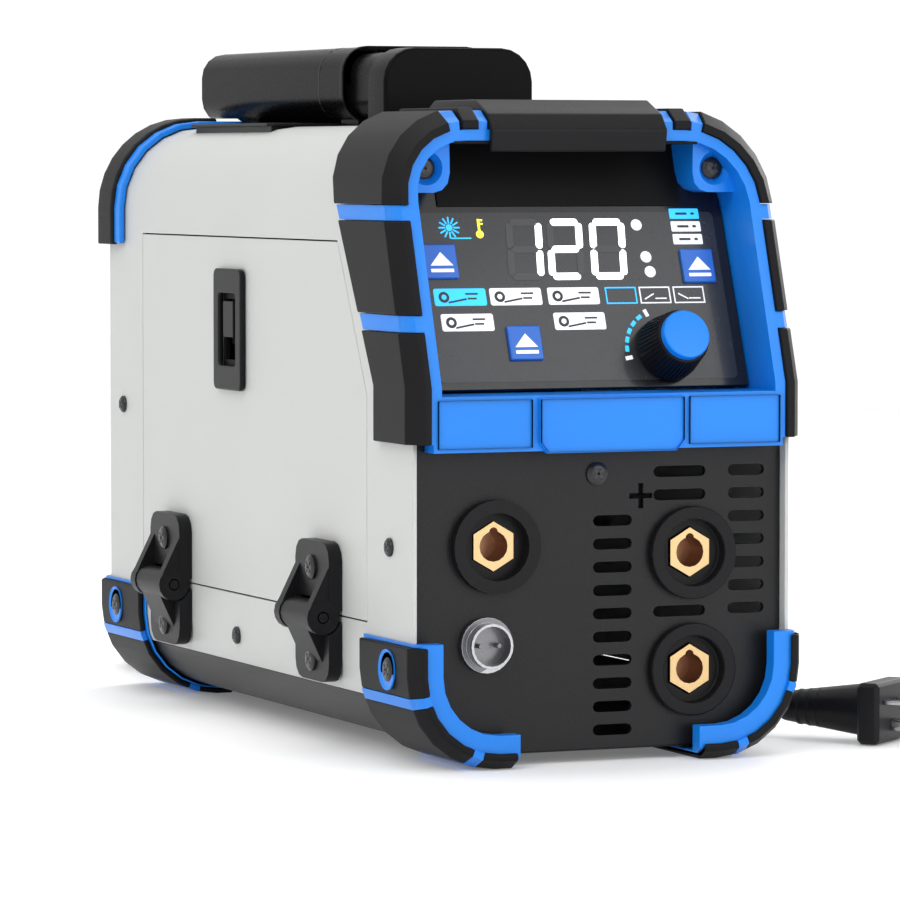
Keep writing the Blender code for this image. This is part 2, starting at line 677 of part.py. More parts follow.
def make_handle():
    """A wide grip over a finger well; the well is a tray let into the casing's top."""
    y0, y1 = WELL_Y
    well = box("handle_well", (-52, y0, 206), (52, y1, 231.6), BLACK)
    inside = (50.4, y0 + 1.6, y1 - 1.6)
    low, high = (-inside[0], inside[1], 207.6), (inside[0], inside[2], 240)
    cut(well, box("hollow", low, high, BLACK, where=cutters))
    lip = plate("lip", [rounded(-54, 54, -y1 - 2, -y0 + 2, 2, 1),
                        rounded(-inside[0], inside[0], -inside[2], -inside[1], 1, 1)],
                -0.6, 0.6, BLACK, where=cutters)
    flat = Matrix.Translation((0, 0, (TOP + GAP + 0.6) * MM)) @ Matrix.Rotation(pi / 2, 4, "X")
    lip.data.transform(flat)
    join(well, lip)
    grip_profile = rounded(-GRIP_HALF, GRIP_HALF, 233.2, GRIP_TOP, 10, 4)
    grip = plate("handle_grip", [grip_profile], 12.0, 171.0, BLACK)
    cut(grip, box("notch", (-40, 141.5, 225), (40, 180, 235.2), BLACK, where=cutters))
    narrow = rounded(-GRIP_HALF + 3, GRIP_HALF - 3, 234.0, GRIP_TOP - 2.5, 8, 4)
    neck = plate("neck", [narrow], -11.7, 14.0, BLACK, where=cutters)
    join(grip, neck)
    for y0, y1 in ((123.5, 141.0), (14.0, 32.0)):
        foot = box("foot", (-24, y0, TOP + GAP), (24, y1, 236), BLACK, where=cutters)
        join(grip, foot)
    plate("handle_front_block",
          [rounded(-GRIP_HALF, GRIP_HALF, TOP + GAP, GRIP_TOP - 1, (0, 13, 13, 0), 5)],
          -30.0, -12.0, BLACK)


# ---------------------------------------------------------------- wire compartment and power unit


def make_inside():
    """Divider, spool on its spindle, wire drive with pressure arm, and the power unit."""
    x = DIVIDER_X
    divider = side_plate("divider", [[(-150, 6), (128, 6), (128, 200), (-85, 200), (-150, 112)]],
                         x, x + 2, STEEL)
    hole = cylinder("hole", (x, SPOOL_Y, SPOOL_Z), 6.2, 20, "x", STEEL, 16, where=cutters)
    axle = cylinder("hole", (x, DRIVE_Y, DRIVE_Z), 5.2, 20, "x", STEEL, 16, where=cutters)
    cut(divider, hole, axle)
    spindle = cylinder("spool_spindle", (x - 22, SPOOL_Y, SPOOL_Z), 6.0, 50, "x", BLACK, 16)
    collar = cylinder("collar", (x - 1.8, SPOOL_Y, SPOOL_Z), 14, 3, "x", BLACK, 20, where=cutters)
    join(spindle, collar)
    spool = cylinder("wire_spool", (x - 27, SPOOL_Y, SPOOL_Z), 50, 44, "x", BLACK, 36)
    waist = cylinder("waist", (x - 27, SPOOL_Y, SPOOL_Z), 60, 38, "x", BLACK, 24, where=cutters)
    keep = cylinder("keep", (x - 27, SPOOL_Y, SPOOL_Z), 40, 39, "x", BLACK, 36, where=cutters)
    boolean(waist, keep)
    cut(spool, waist, cylinder("bore", (x - 27, SPOOL_Y, SPOOL_Z), 8, 60, "x", BLACK, 16, where=cutters))
    motor = cylinder("drive_motor", (x + 27, DRIVE_Y, DRIVE_Z), 18, 49, "x", STEEL, 24)
    shaft = cylinder("shaft", (x - 5, DRIVE_Y, DRIVE_Z), 3.9, 22, "x", STEEL, 12, where=cutters)
    join(motor, shaft)
    bed = box("drive_bed", (x - 20, DRIVE_Y - 26, DRIVE_Z - 24), (x + 1, DRIVE_Y + 30, DRIVE_Z - 17),
              STEEL, where=cutters)
    post = box("post", (x - 6, DRIVE_Y + 20, DRIVE_Z - 20), (x + 1, DRIVE_Y + 30, DRIVE_Z + 34),
               STEEL, where=cutters)
    pivot = cylinder("pivot", (x - 13, DRIVE_Y + 25, DRIVE_Z + 30), 3, 16, "x", BLACK, 12, where=cutters)
    join(divider, bed, post, pivot)
    roll = cylinder("drive_roll", (x - 12, DRIVE_Y, DRIVE_Z), ROLL_R, 7, "x", STEEL, 28)
    cut(roll, cylinder("bore", (x - 12, DRIVE_Y, DRIVE_Z), 4.2, 20, "x", STEEL, 12, where=cutters))
    idler_z = DRIVE_Z + ROLL_R + IDLER_R + 1.0
    idler = cylinder("pressure_roll", (x - 12, DRIVE_Y, idler_z), IDLER_R, 6, "x", STEEL, 24)
    cut(idler, cylinder("bore", (x - 12, DRIVE_Y, idler_z), 3.2, 20, "x", STEEL, 12, where=cutters))
    low, high = (x - 21, DRIVE_Y - 22, DRIVE_Z + 26), (x - 16, DRIVE_Y + 29, DRIVE_Z + 35)
    arm = box("pressure_arm", low, high, BLACK)
    pin = cylinder("pin", (x - 14, DRIVE_Y, idler_z), 2.9, 12, "x", STEEL, 12, where=cutters)
    low, high = (x - 21, DRIVE_Y - 5, idler_z - 4), (x - 16, DRIVE_Y + 5, DRIVE_Z + 30)
    join(arm, pin, box("drop", low, high, BLACK, where=cutters))
    cut(arm, cylinder("bore", (x - 18, DRIVE_Y + 25, DRIVE_Z + 30), 3.3, 12, "x", BLACK, 12, where=cutters))
    board = box("power_board", (12, -38, 60), (14, 100, 190), DARK)
    sink = box("sink", (13, -34, 128), (50, 60, 176), STEEL, where=cutters)
    coil = box("transformer", (13, -10, 66), (52, 50, 116), DARK, 4.0, where=cutters)
    join(board, sink, coil)
    feet = [box("foot", (12.5, y - 6, 5.8), (42, y + 6, 64), DARK, where=cutters) for y in (-30, 90)]
    join(board, *feet)


# ---------------------------------------------------------------- mains cord


def smooth(points, spacing):
    """Even points on a smooth curve through the route's own points (Catmull-Rom)."""
    route = [Vector(p) for p in points]
    route = [route[0] * 2 - route[1]] + route + [route[-1] * 2 - route[-2]]
    fine = []
    for a, b, c, d in zip(route, route[1:], route[2:], route[3:]):
        for i in range(24):
            t = i / 24
            fine.append(0.5 * (2 * b + (c - a) * t + (2 * a - 5 * b + 4 * c - d) * t * t
                               + (3 * b - a - 3 * c + d) * t ** 3))
    fine.append(route[-2])
    kept, run = [fine[0]], 0.0
    for one, two in zip(fine, fine[1:]):
        run += (two - one).length
        if run >= spacing:
            kept.append(two)
            run = 0.0
    if (kept[-1] - fine[-1]).length < spacing / 2:
        kept.pop()
    return kept + [fine[-1]]


FLOOR_Z = CORD_D / 2 + 0.2
# Gland to coil, and coil to plug.
ROUTE_OUT = [
    (42, 197.2, 40), (43, 209, 39.6), (52.5, 220, 37.5), (66, 230.5, 29.5), (74, 244, 16), (74.5, 257, 7),
    (68, 269, FLOOR_Z), (54.5, 277.3, FLOOR_Z), (38.3, 280.0, FLOOR_Z),
]
ROUTE_PLUG = [
    (10, 174.6, FLOOR_Z), (30, 176.5, FLOOR_Z), (52, 181, FLOOR_Z), (72, 182, FLOOR_Z), (90, 173, FLOOR_Z),
    (99, 155, FLOOR_Z), (98, 115, FLOOR_Z), (94, 60, FLOOR_Z), (96, 0, FLOOR_Z), (92, -50, FLOOR_Z),
    (87.5, -78, 6.5), (90, -101.5, 11), (97.6, -112.2, 11.9),
]


def cord_tube(name, route):
    curve = bpy.data.curves.new(name, "CURVE")
    curve.dimensions = "3D"
    curve.bevel_depth = CORD_D / 2 * MM
    curve.bevel_resolution = 2
    curve.use_fill_caps = True
    points = smooth(route, 2.6 * CORD_D)
    spline = curve.splines.new("POLY")
    spline.points.add(len(points) - 1)
    for knot, point in zip(spline.points, points):
        knot.co = (*(point * MM), 1.0)
    curve.materials.append(RUBBER)
    made = bpy.data.objects.new(name, curve)
    machine.objects.link(made)


def make_cord():
    x, z = GLAND
    gland = cylinder("cord_gland", (x, 163.5, z), 11, 8.2, "y", BLACK, 20)
    neck = cylinder("neck", (x, 155, z), 7.6, 14, "y", BLACK, 16, where=cutters)
    boot = cylinder("boot", (x, 180, z), 8.0, 31, "y", BLACK, 16, 5.4, where=cutters)
    join(gland, neck, boot)
    cord_tube("cord_to_coil", ROUTE_OUT)
    cord_tube("cord_to_plug", ROUTE_PLUG)
    cx, cy = COIL_CENTRE
    coil = cylinder("cord_coil", (cx, cy, COIL_HEIGHT / 2 + 0.2), COIL_MEAN_R + COIL_HALF_WIDTH,
                    COIL_HEIGHT, "z", RUBBER, 32)
    eye = cylinder("eye", (cx, cy, 0), COIL_MEAN_R - COIL_HALF_WIDTH, 80, "z", RUBBER, 24, where=cutters)
    boolean(coil, eye)
    plug = box("cord_plug", (0, -15, -11.5), (9, 15, 11.5), BLACK, 1.5)
    body = cylinder("body", (-17, 0, 0), 5.6, 36, "x", BLACK, 12, 10.5, where=cutters)
    pins = [box("pin", (8, y - 3.2, z - 0.8), (24, y + 3.2, z + 0.8), STEEL, where=cutters)
            for y, z in ((-6.3, 4), (6.3, 4))]
    pins.append(cylinder("pin", (16, 0, -5), 2.4, 16, "x", STEEL, 10, where=cutters))
    join(plug, body, *pins)
    place = Matrix.Translation((0.121, -0.140, 0.0119)) @ Matrix.Rotation(radians(-50), 4, "Z")
    plug.data.transform(place)


# ---------------------------------------------------------------- build


def shift_all():
    """Moves the whole machine so that the origin is under the middle of its box."""
    for piece in machine.objects:
        piece.location.x += SHIFT_X * MM


make_tray()
make_casing()
make_door()
make_latch()
for end, y in zip(("hinge_rear", "hinge_front"), HINGE_Y):
    make_hinge(end, y)
make_front_panel()
for name, (x, z) in SOCKETS.items():
    make_socket(name, x, z)
make_connector()
make_hood()
make_controls()
make_guards()
make_rear()
make_handle()
make_inside()
make_cord()
shift_all()
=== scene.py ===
# %% [markdown]
# # A compact MIG welding machine
# The machine is a bent sheet casing with a plastic control hood at the front, rubber padded corners,
# a drop-down door on its left and a mains cord at the back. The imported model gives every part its
# place, so this script only adds the finish: rounded edges, materials, screws, printed symbols, the
# wound wire and the cord. Everything is in metres, with the front towards -Y.

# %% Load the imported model
import json
import math

import bmesh
import bpy
from mathutils import Matrix, Vector


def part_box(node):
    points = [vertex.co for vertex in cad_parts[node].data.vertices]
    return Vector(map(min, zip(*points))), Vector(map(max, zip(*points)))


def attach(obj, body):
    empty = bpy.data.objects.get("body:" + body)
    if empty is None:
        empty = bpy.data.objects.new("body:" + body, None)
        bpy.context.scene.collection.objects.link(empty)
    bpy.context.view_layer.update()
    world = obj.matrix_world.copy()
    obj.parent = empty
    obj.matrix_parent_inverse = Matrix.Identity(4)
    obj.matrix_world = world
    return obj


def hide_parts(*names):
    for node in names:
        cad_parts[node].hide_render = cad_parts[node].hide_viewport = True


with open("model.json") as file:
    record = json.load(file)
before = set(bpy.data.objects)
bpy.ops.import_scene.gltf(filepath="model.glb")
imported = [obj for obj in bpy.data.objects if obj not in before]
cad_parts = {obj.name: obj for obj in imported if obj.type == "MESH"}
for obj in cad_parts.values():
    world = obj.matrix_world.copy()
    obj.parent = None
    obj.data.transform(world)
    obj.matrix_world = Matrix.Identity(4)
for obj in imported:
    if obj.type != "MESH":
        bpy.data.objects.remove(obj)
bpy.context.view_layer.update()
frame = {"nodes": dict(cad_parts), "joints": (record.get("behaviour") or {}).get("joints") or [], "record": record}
MM = 0.001
JOINTS = {joint["name"]: joint for joint in frame["joints"]}
BODY = {node: body for body, nodes in frame["record"]["behaviour"]["bodies"].items() for node in nodes}

# %% [markdown]
# ## Camera first
# A long lens from the front left, a little below the casing's top, gives the near-parallel lines of
# a catalogue picture. It is set before any piece so that every test picture can be compared.

# %% Camera
CAMERA_PLACE = (-0.76725, -1.8409, 0.218)
HEADING = 23.0
PITCH = 3.239
camera = bpy.data.objects.new("camera", bpy.data.cameras.new("camera"))
camera.data.lens = 204.96
camera.data.sensor_width = 36.0
camera.data.clip_end = 20.0
camera.location = CAMERA_PLACE
camera.rotation_euler = (math.radians(90 - PITCH), 0.0, math.radians(-HEADING))
bpy.context.scene.collection.objects.link(camera)
bpy.context.scene.camera = camera

# %% [markdown]
# ## Materials
# Each finish is one small node tree. A fine noise drives the bump that moulded plastic and powder
# coat show up close, and a broad noise shifts colour and roughness a little, because no real panel
# is perfectly even. All patterns read Object coordinates, so they stay put when a part moves.


# %% A maker of finishes
FINE_HEIGHT = 0.0004
BROAD_SCALE = 14.0
ROUGH_SPREAD = 0.06


def finish(
    name, colour, rough, metal=0.0, grain=900.0, bump=0.08, vary=0.05, stretch=(1, 1, 1), coat=0.0,
    mirror=0.5,
):
    """A Principled material with a fine bump and a slow, slight change of colour."""
    made = bpy.data.materials.new(name)
    made.use_nodes = True
    tree = made.node_tree
    shader = tree.nodes["Principled BSDF"]
    shader.inputs["Metallic"].default_value = metal
    shader.inputs["Specular IOR Level"].default_value = mirror
    shader.inputs["Coat Weight"].default_value = coat
    shader.inputs["Coat Roughness"].default_value = 0.08
    place = tree.nodes.new("ShaderNodeTexCoord")
    mapping = tree.nodes.new("ShaderNodeMapping")
    mapping.inputs["Scale"].default_value = stretch
    tree.links.new(place.outputs["Object"], mapping.inputs["Vector"])
    fine = tree.nodes.new("ShaderNodeTexNoise")
    fine.inputs["Scale"].default_value = grain
    fine.inputs["Detail"].default_value = 3.0
    broad = tree.nodes.new("ShaderNodeTexNoise")
    broad.inputs["Scale"].default_value = BROAD_SCALE
    broad.inputs["Detail"].default_value = 4.0
    for noise in (fine, broad):
        tree.links.new(mapping.outputs["Vector"], noise.inputs["Vector"])
    raised = tree.nodes.new("ShaderNodeBump")
    raised.inputs["Strength"].default_value = bump
    raised.inputs["Distance"].default_value = FINE_HEIGHT
    tree.links.new(fine.outputs["Fac"], raised.inputs["Height"])
    tree.links.new(raised.outputs["Normal"], shader.inputs["Normal"])
    tint = tree.nodes.new("ShaderNodeValToRGB")
    low = [c * (1 - vary) for c in colour]
    high = [min(1.0, c * (1 + vary)) for c in colour]
    tint.color_ramp.elements[0].color = (*low, 1)
    tint.color_ramp.elements[1].color = (*high, 1)
    tint.color_ramp.elements[0].position = 0.3
    tint.color_ramp.elements[1].position = 0.7
    tree.links.new(broad.outputs["Fac"], tint.inputs["Fac"])
    tree.links.new(tint.outputs["Color"], shader.inputs["Base Color"])
    shine = tree.nodes.new("ShaderNodeMapRange")
    shine.inputs["To Min"].default_value = max(0.02, rough - ROUGH_SPREAD)
    shine.inputs["To Max"].default_value = min(1.0, rough + ROUGH_SPREAD)
    tree.links.new(fine.outputs["Fac"], shine.inputs["Value"])
    tree.links.new(shine.outputs["Result"], shader.inputs["Roughness"])
    return made


def glow(name, colour, strength):
    """A lit symbol: its own colour plus a little emission, with a faint unevenness."""
    made = finish(name, colour, 0.4, grain=400.0, bump=0.0, vary=0.02)
    shader = made.node_tree.nodes["Principled BSDF"]
    shader.inputs["Emission Color"].default_value = (*colour, 1)
    shader.inputs["Emission Strength"].default_value = strength
    return made


# %% The finishes of this machine
GREY = finish("grey_powder_coat", (0.49, 0.50, 0.49), 0.42, grain=1400.0, bump=0.10, vary=0.015)
BLACK = finish(
    "black_moulded_plastic", (0.008, 0.008, 0.009),
    0.36, grain=1600.0, bump=0.20, vary=0.10, mirror=0.14,
)
RUBBER = finish(
    "black_soft_pads", (0.010, 0.010, 0.011),
    0.42, grain=1800.0, bump=0.25, vary=0.10, mirror=0.08,
)
BLUE = finish(
    "blue_hood_plastic", (0.004, 0.195, 0.72),
    0.34, grain=1500.0, bump=0.10, vary=0.05, mirror=0.35,
)
# Darker blue for thin lines of painted shadow beside the fascia's raised frames.
SHADOW_LINE_BLUE = finish(
    "painted_shadow_line_blue", (0.002, 0.060, 0.28),
    0.45, grain=1500.0, bump=0.10, vary=0.05, mirror=0.20,
)
STEEL_BLACK = finish(
    "black_painted_steel", (0.007, 0.007, 0.008),
    0.38, grain=1300.0, bump=0.18, vary=0.08, mirror=0.26,
)
GRIP = finish(
    "grip_plastic", (0.003, 0.003, 0.0035),
    0.28, grain=1500.0, bump=0.10, vary=0.10, mirror=0.05,
)
# A deep black for thin sheets of painted shade under the hood's ceiling, over the panel's header and in the
# latch's pocket.
SHADOW = finish(
    "painted_shade_black", (0.003, 0.003, 0.003),
    0.55, grain=900.0, bump=0.05, vary=0.10, mirror=0.15,
)
GLASSY = finish(
    "panel_overlay", (0.006, 0.006, 0.008),
    0.24, grain=300.0, bump=0.01, vary=0.10, mirror=0.4, coat=0.2,
)
WINDOW = finish(
    "display_window", (0.028, 0.029, 0.032),
    0.26, grain=300.0, bump=0.01, vary=0.05, mirror=0.4, coat=0.2,
)
BRASS = finish("turned_brass", (0.64, 0.45, 0.23), 0.30, 1.0, 500.0, 0.10, 0.06, (1, 14, 1))
# Copper colour, darkened beyond the metal's own as painted shade down the sockets' bores.
COPPER_WITH_PAINTED_SHADE = finish("copper_bore_with_painted_shade", (0.34, 0.19, 0.12), 0.36, 1.0, 500.0, 0.10, 0.08, (1, 14, 1))
STEEL = finish("brushed_steel", (0.66, 0.66, 0.67), 0.22, 1.0, 420.0, 0.08, 0.05, (22, 1, 1))
CHROME = finish("plated_ring", (0.46, 0.46, 0.48), 0.24, 1.0, 500.0, 0.02, 0.03)
# Plated metal darkened as painted shade inside the connector's cup.
CUP_WITH_PAINTED_SHADE = finish("plated_cup_with_painted_shade", (0.20, 0.20, 0.21), 0.30, 1.0, 500.0, 0.04, 0.06)
SCREW = finish("blackened_screw", (0.016, 0.016, 0.018), 0.24, 0.3, 900.0, 0.08, 0.10)
JACKET = finish(
    "cord_jacket", (0.012, 0.012, 0.013),
    0.50, grain=1500.0, bump=0.15, vary=0.08, mirror=0.35,
)
BOARD = finish("circuit_board", (0.012, 0.10, 0.045), 0.35, grain=700.0, bump=0.10, vary=0.20)
WIRE = finish("wound_wire", (0.70, 0.62, 0.55), 0.25, 1.0, 600.0, 0.06, 0.08, (1, 14, 14))
WHITE_INK = glow("white_symbols", (0.85, 0.87, 0.90), 0.25)
DIGIT = glow("lit_digits", (0.95, 0.97, 1.0), 1.6)
GHOST = finish("unlit_segments", (0.045, 0.046, 0.050), 0.3, grain=300.0, bump=0.0, vary=0.02)
CYAN = glow("cyan_symbols", (0.02, 0.42, 0.80), 0.9)
YELLOW = glow("yellow_symbol", (0.85, 0.80, 0.05), 1.0)
KEY_BLUE = finish("button_blue", (0.012, 0.13, 0.55), 0.30, grain=900.0, bump=0.03, vary=0.05)
INK = finish("dark_ink", (0.02, 0.02, 0.025), 0.4, grain=500.0, bump=0.0, vary=0.02)
print("finishes", len(bpy.data.materials))

# %% [markdown]
# ## Rounding the parts
# A moulded or bent part never has a knife edge, and the thin highlight along a rounded edge is what
# makes it read as real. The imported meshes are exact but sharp, and their triangles are loose. So
# each one is copied, its doubles are merged, flat faces are made whole again, and the edges that
# turn by more than a set angle are bevelled. The copy stands for the part.


# %% Skin: a rounded copy of a part
def shade(mesh, angle=50.0):
    """Smooth corners whose normals follow the larger faces, so a flat wall stays flat."""
    mesh.shade_smooth()
    limit = math.cos(math.radians(angle))
    around = [[] for _ in mesh.vertices]
    normals = [face.normal.copy() for face in mesh.polygons]
    areas = [face.area for face in mesh.polygons]
    for face in mesh.polygons:
        for vertex in face.vertices:
            around[vertex].append(face.index)
    corners = []
    for face in mesh.polygons:
        own = normals[face.index]
        for vertex in face.vertices:
            near = [i for i in around[vertex] if normals[i].dot(own) > limit]
            mean = sum((normals[i] * areas[i] for i in near), Vector())
            corners.append(mean.normalized() if mean.length else own)
    mesh.normals_split_custom_set(corners)


def piece(name, bm, material, body, angle=50.0):
    """Makes a finished bmesh an object that rides on a body."""
    bmesh.ops.recalc_face_normals(bm, faces=bm.faces[:])
    mesh = bpy.data.meshes.new(name)
    bm.to_mesh(mesh)
    bm.free()
    mesh.materials.append(material)
    shade(mesh, angle)
    made = bpy.data.objects.new(name, mesh)
    bpy.context.scene.collection.objects.link(made)
    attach(made, body)
    return made


def new_verts(made):
    """The vertices among the geometry that an operator returns."""
    return [part for part in made["geom"] if isinstance(part, bmesh.types.BMVert)]


def cut_edges(made):
    """The edges where a plane has cut a mesh."""
    return [part for part in made["geom_cut"] if isinstance(part, bmesh.types.BMEdge)]


def copy_of(node):
    """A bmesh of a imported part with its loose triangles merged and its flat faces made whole."""
    bm = bmesh.new()
    bm.from_mesh(frame["nodes"][node].data)
    bmesh.ops.remove_doubles(bm, verts=bm.verts[:], dist=2e-6)
    bmesh.ops.dissolve_limit(
        bm, angle_limit=math.radians(0.6), verts=bm.verts[:], edges=bm.edges[:], delimit={"NORMAL"}
    )
    return bm


def round_edges(bm, width, angle=40.0, segments=2):
    """Bevels the edges that turn by more than an angle."""
    sharp = [e for e in bm.edges if e.is_manifold and e.calc_face_angle(0.0) > math.radians(angle)]
    if sharp and width:
        bmesh.ops.bevel(
            bm, geom=sharp, offset=width, segments=segments, profile=0.5, affect="EDGES",
            clamp_overlap=True, material=-1,
        )


def skin(node, material, width=0.0004, angle=40.0):
    """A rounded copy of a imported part, which stands for it."""
    bm = copy_of(node)
    round_edges(bm, width, angle)
    made = piece(node + "_skin", bm, material, BODY[node])
    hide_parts(node)
    return made


# %% The casing, door, tray and end panels
skin("casing", GREY, 0.0003)
skin("side_door", GREY, 0.0004)
for node in ("base_tray", "front_panel", "rear_panel"):
    skin(node, STEEL_BLACK, 0.0003)
print("sheet parts rounded")

# %% The hood, its pads, and the corner guards
skin("hood_frame", BLUE, 0.0007)
skin("rear_frame", BLUE, 0.0008)
for side in ("left", "right"):
    for part in ("lower", "middle", "shoulder"):
        skin(f"hood_pad_{side}_{part}", RUBBER, 0.0009, 30.0)
skin("hood_top_bar", BLACK, 0.0008, 25.0)
for end in ("front", "rear"):
    for side in ("left", "right"):
        skin(f"guard_{end}_{side}", BLUE, 0.0006)
print("hood and guards rounded")

# %% Hinges, latch, handle and the rest of the plain parts
for end in ("front", "rear"):
    for leaf in ("door", "case"):
        skin(f"hinge_{end}_{leaf}_leaf", BLACK, 0.0007)
skin("latch_frame", BLACK, 0.0007)
skin("latch_slider", BLACK, 0.0005)
skin("handle_grip", GRIP, 0.0012)
skin("handle_front_block", GRIP, 0.0014)
skin("handle_well", BLACK, 0.0006)
skin("fan_housing", BLACK, 0.0005)
skin("fan_rotor", BLACK, 0.0005)
skin("power_switch", BLACK, 0.0006)
skin("cord_gland", BLACK, 0.0008)
skin("spool_spindle", BLACK, 0.0006)
skin("wire_spool", BLACK, 0.0007)
skin("pressure_arm", BLACK, 0.0007)
skin("divider", STEEL, 0.0004)
for node in ("drive_motor", "drive_roll", "pressure_roll", "encoder_shaft"):
    skin(node, STEEL, 0.0005)
skin("power_board", BOARD, 0.0004)
print("plain parts rounded")

# %% [markdown]
# ## Two finishes on one part
# A socket's insert is brass outside and copper down its bore, and the connector's cup is duller than
# its rim. Both insides are also darker than the metal is, as painted shade in the hollow. Each is still
# one turned part, so the faces near its axis are given a second material slot instead of being cut off.

# %% Sockets and connector
BORE_R = 0.0073
FRONT_SKIN = 0.0002


def paint_shade_inside(made, node, material):
    """Gives a second, darker finish, partly painted shade in the hollow, to the faces near the axis of a socket
    part, behind its front face.
    """
    low, high = (Vector(corner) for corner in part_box(node))
    centre = (low + high) / 2
    made.data.materials.append(material)
    for face in made.data.polygons:
        away = face.center - centre
        if math.hypot(away.x, away.z) < BORE_R and face.center.y > low.y + FRONT_SKIN:
            face.material_index = 1


paint_shade_inside(skin("control_connector", CHROME, 0.0004), "control_connector", CUP_WITH_PAINTED_SHADE)
for name in ("left", "upper", "lower"):
    skin(f"socket_{name}_ring", BLACK, 0.0007)
    paint_shade_inside(skin(f"socket_{name}_insert", BRASS, 0.0003), f"socket_{name}_insert", COPPER_WITH_PAINTED_SHADE)
print("sockets and connector made")

# %% [markdown]
# ## Small round things
# Screws, caps and rings are turned shapes. A create_cone gives the blank, and an inset and an extrusion
# give the rim and the dish. One helper turns the blank to face out of
# any wall, so that every screw on the machine is the same few lines.


# %% Screws
def facing(point, out):
    """A matrix that puts a piece made along +Z at point, facing out."""
    turn = Vector((0, 0, 1)).rotation_difference(Vector(out)).to_matrix().to_4x4()
    return Matrix.Translation(point) @ turn


def disc(bm, matrix, radius, height, sides=32, top=None):
    """A capped cone or disc that stands on the matrix's plane."""
    made = bmesh.ops.create_cone(
        bm, cap_ends=True, segments=sides, radius1=radius, radius2=radius if top is None else top,
        depth=height, matrix=matrix @ Matrix.Translation((0, 0, height / 2)),
    )
    return made["verts"]


def screw(name, point, out, body, radius=0.0034, material=SCREW):
    """A domed cross-head screw: a disc with its top drawn in twice and a cross sunk in it."""
    bm = bmesh.new()
    disc(bm, Matrix(), radius, 0.0008)
    top = max(bm.faces, key=lambda face: face.calc_center_median().z)
    for inset, rise in ((0.20, 0.0006), (0.30, 0.0003)):
        bmesh.ops.inset_region(bm, faces=[top], thickness=radius * inset)
        bmesh.ops.translate(bm, vec=(0, 0, rise), verts=top.verts)
    bmesh.ops.transform(bm, matrix=facing(point, out), verts=bm.verts)
    piece(name, bm, material, body, 50.0)
    bm = bmesh.new()
    for turn in (math.radians(45), math.radians(135)):
        bar = bmesh.ops.create_cube(bm, size=1.0)["verts"]
        size = Matrix.Diagonal((radius * 1.05, radius * 0.22, 0.0003, 1))
        lift = Matrix.Translation((0, 0, 0.00168))
        bmesh.ops.transform(bm, matrix=lift @ Matrix.Rotation(turn, 4, "Z") @ size, verts=bar)
    bmesh.ops.transform(bm, matrix=facing(point, out), verts=bm.verts)
    piece(name + "_cross", bm, INK, body)


casing_low, casing_high = (Vector(corner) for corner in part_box("casing"))
LEFT = casing_low.x
RIGHT = casing_high.x
MIDDLE = (LEFT + RIGHT) / 2
for i, (y, z) in enumerate(((0.1458, 0.118), (-0.1414, 0.079), (0.0143, 0.034))):
    screw(f"side_screw_left_{i}", (LEFT, y, z), (-1, 0, 0), "machine")
    screw(f"side_screw_right_{i}", (RIGHT, y, z), (1, 0, 0), "machine")
panel_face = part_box("front_panel")[0][1]
screw("front_screw", (MIDDLE - 0.001, panel_face, 0.1048), (0, -1, 0), "machine", 0.0042)
rear_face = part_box("rear_panel")[1][1]
for i, (x, z) in enumerate(((-58, 30), (58, 30), (-58, 200), (58, 200))):
    screw(f"rear_screw_{i}", (MIDDLE + x * MM, rear_face, z * MM), (0, 1, 0), "machine")

# %% Hinge screws in their slots
BIG_SCREW = 0.0046
for end in ("front", "rear"):
    for leaf, body, rise in (("door", "door", 0.0175), ("case", "machine", -0.0165)):
        low, high = (Vector(corner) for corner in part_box(f"hinge_{end}_{leaf}_leaf"))
        y = (low.y + high.y) / 2
        face_x = LEFT - 0.0055
        z = JOINTS["door_hinge"]["pos_m"][2] + rise
        screw(f"hinge_{end}_{leaf}_screw", (face_x, y, z), (-1, 0, 0), body, BIG_SCREW)
print("screws made; casing from", round(LEFT, 4), "to", round(RIGHT, 4))

# %% [markdown]
# ## Hood corners, painted shade and fascia frames
# The hood is screwed on through two blue bosses in its upper corners. Each is a filled corner with a
# dished hole: the face is filled between an outline and a circle, then the outline is drawn back and
# the circle is drawn in, and both ends are closed. The ceiling between them is covered by thin black
# sheets of painted shade, and the fascia has thin raised frames edged by lines of painted shadow.

# %% Corner bosses
HOOD_TURN = (44.0, 203.0)
BOSS_R = 23.2
BOSS_Y = -135.0
BOSS_DEEP = 18.0
HOLE_AT = (57.6, 215.0)
HOLE_R = 6.2


def outline(bm, points, y):
    """A closed loop of vertices and edges in a plane of constant y, in millimetres from the middle."""
    verts = [bm.verts.new((MIDDLE + x * MM, y * MM, z * MM)) for x, z in points]
    return verts, [bm.edges.new((a, b)) for a, b in zip(verts, verts[1:] + verts[:1])]


def moved(bm, edges, vec, scale=1.0, centre=(0, 0, 0)):
    """Extrudes a loop of edges, then scales and moves the new loop and returns its vertices."""
    verts = new_verts(bmesh.ops.extrude_edge_only(bm, edges=edges))
    bmesh.ops.scale(bm, vec=(scale, 1, scale), verts=verts, space=Matrix.Translation(-Vector(centre)))
    bmesh.ops.translate(bm, vec=vec, verts=verts)
    return verts


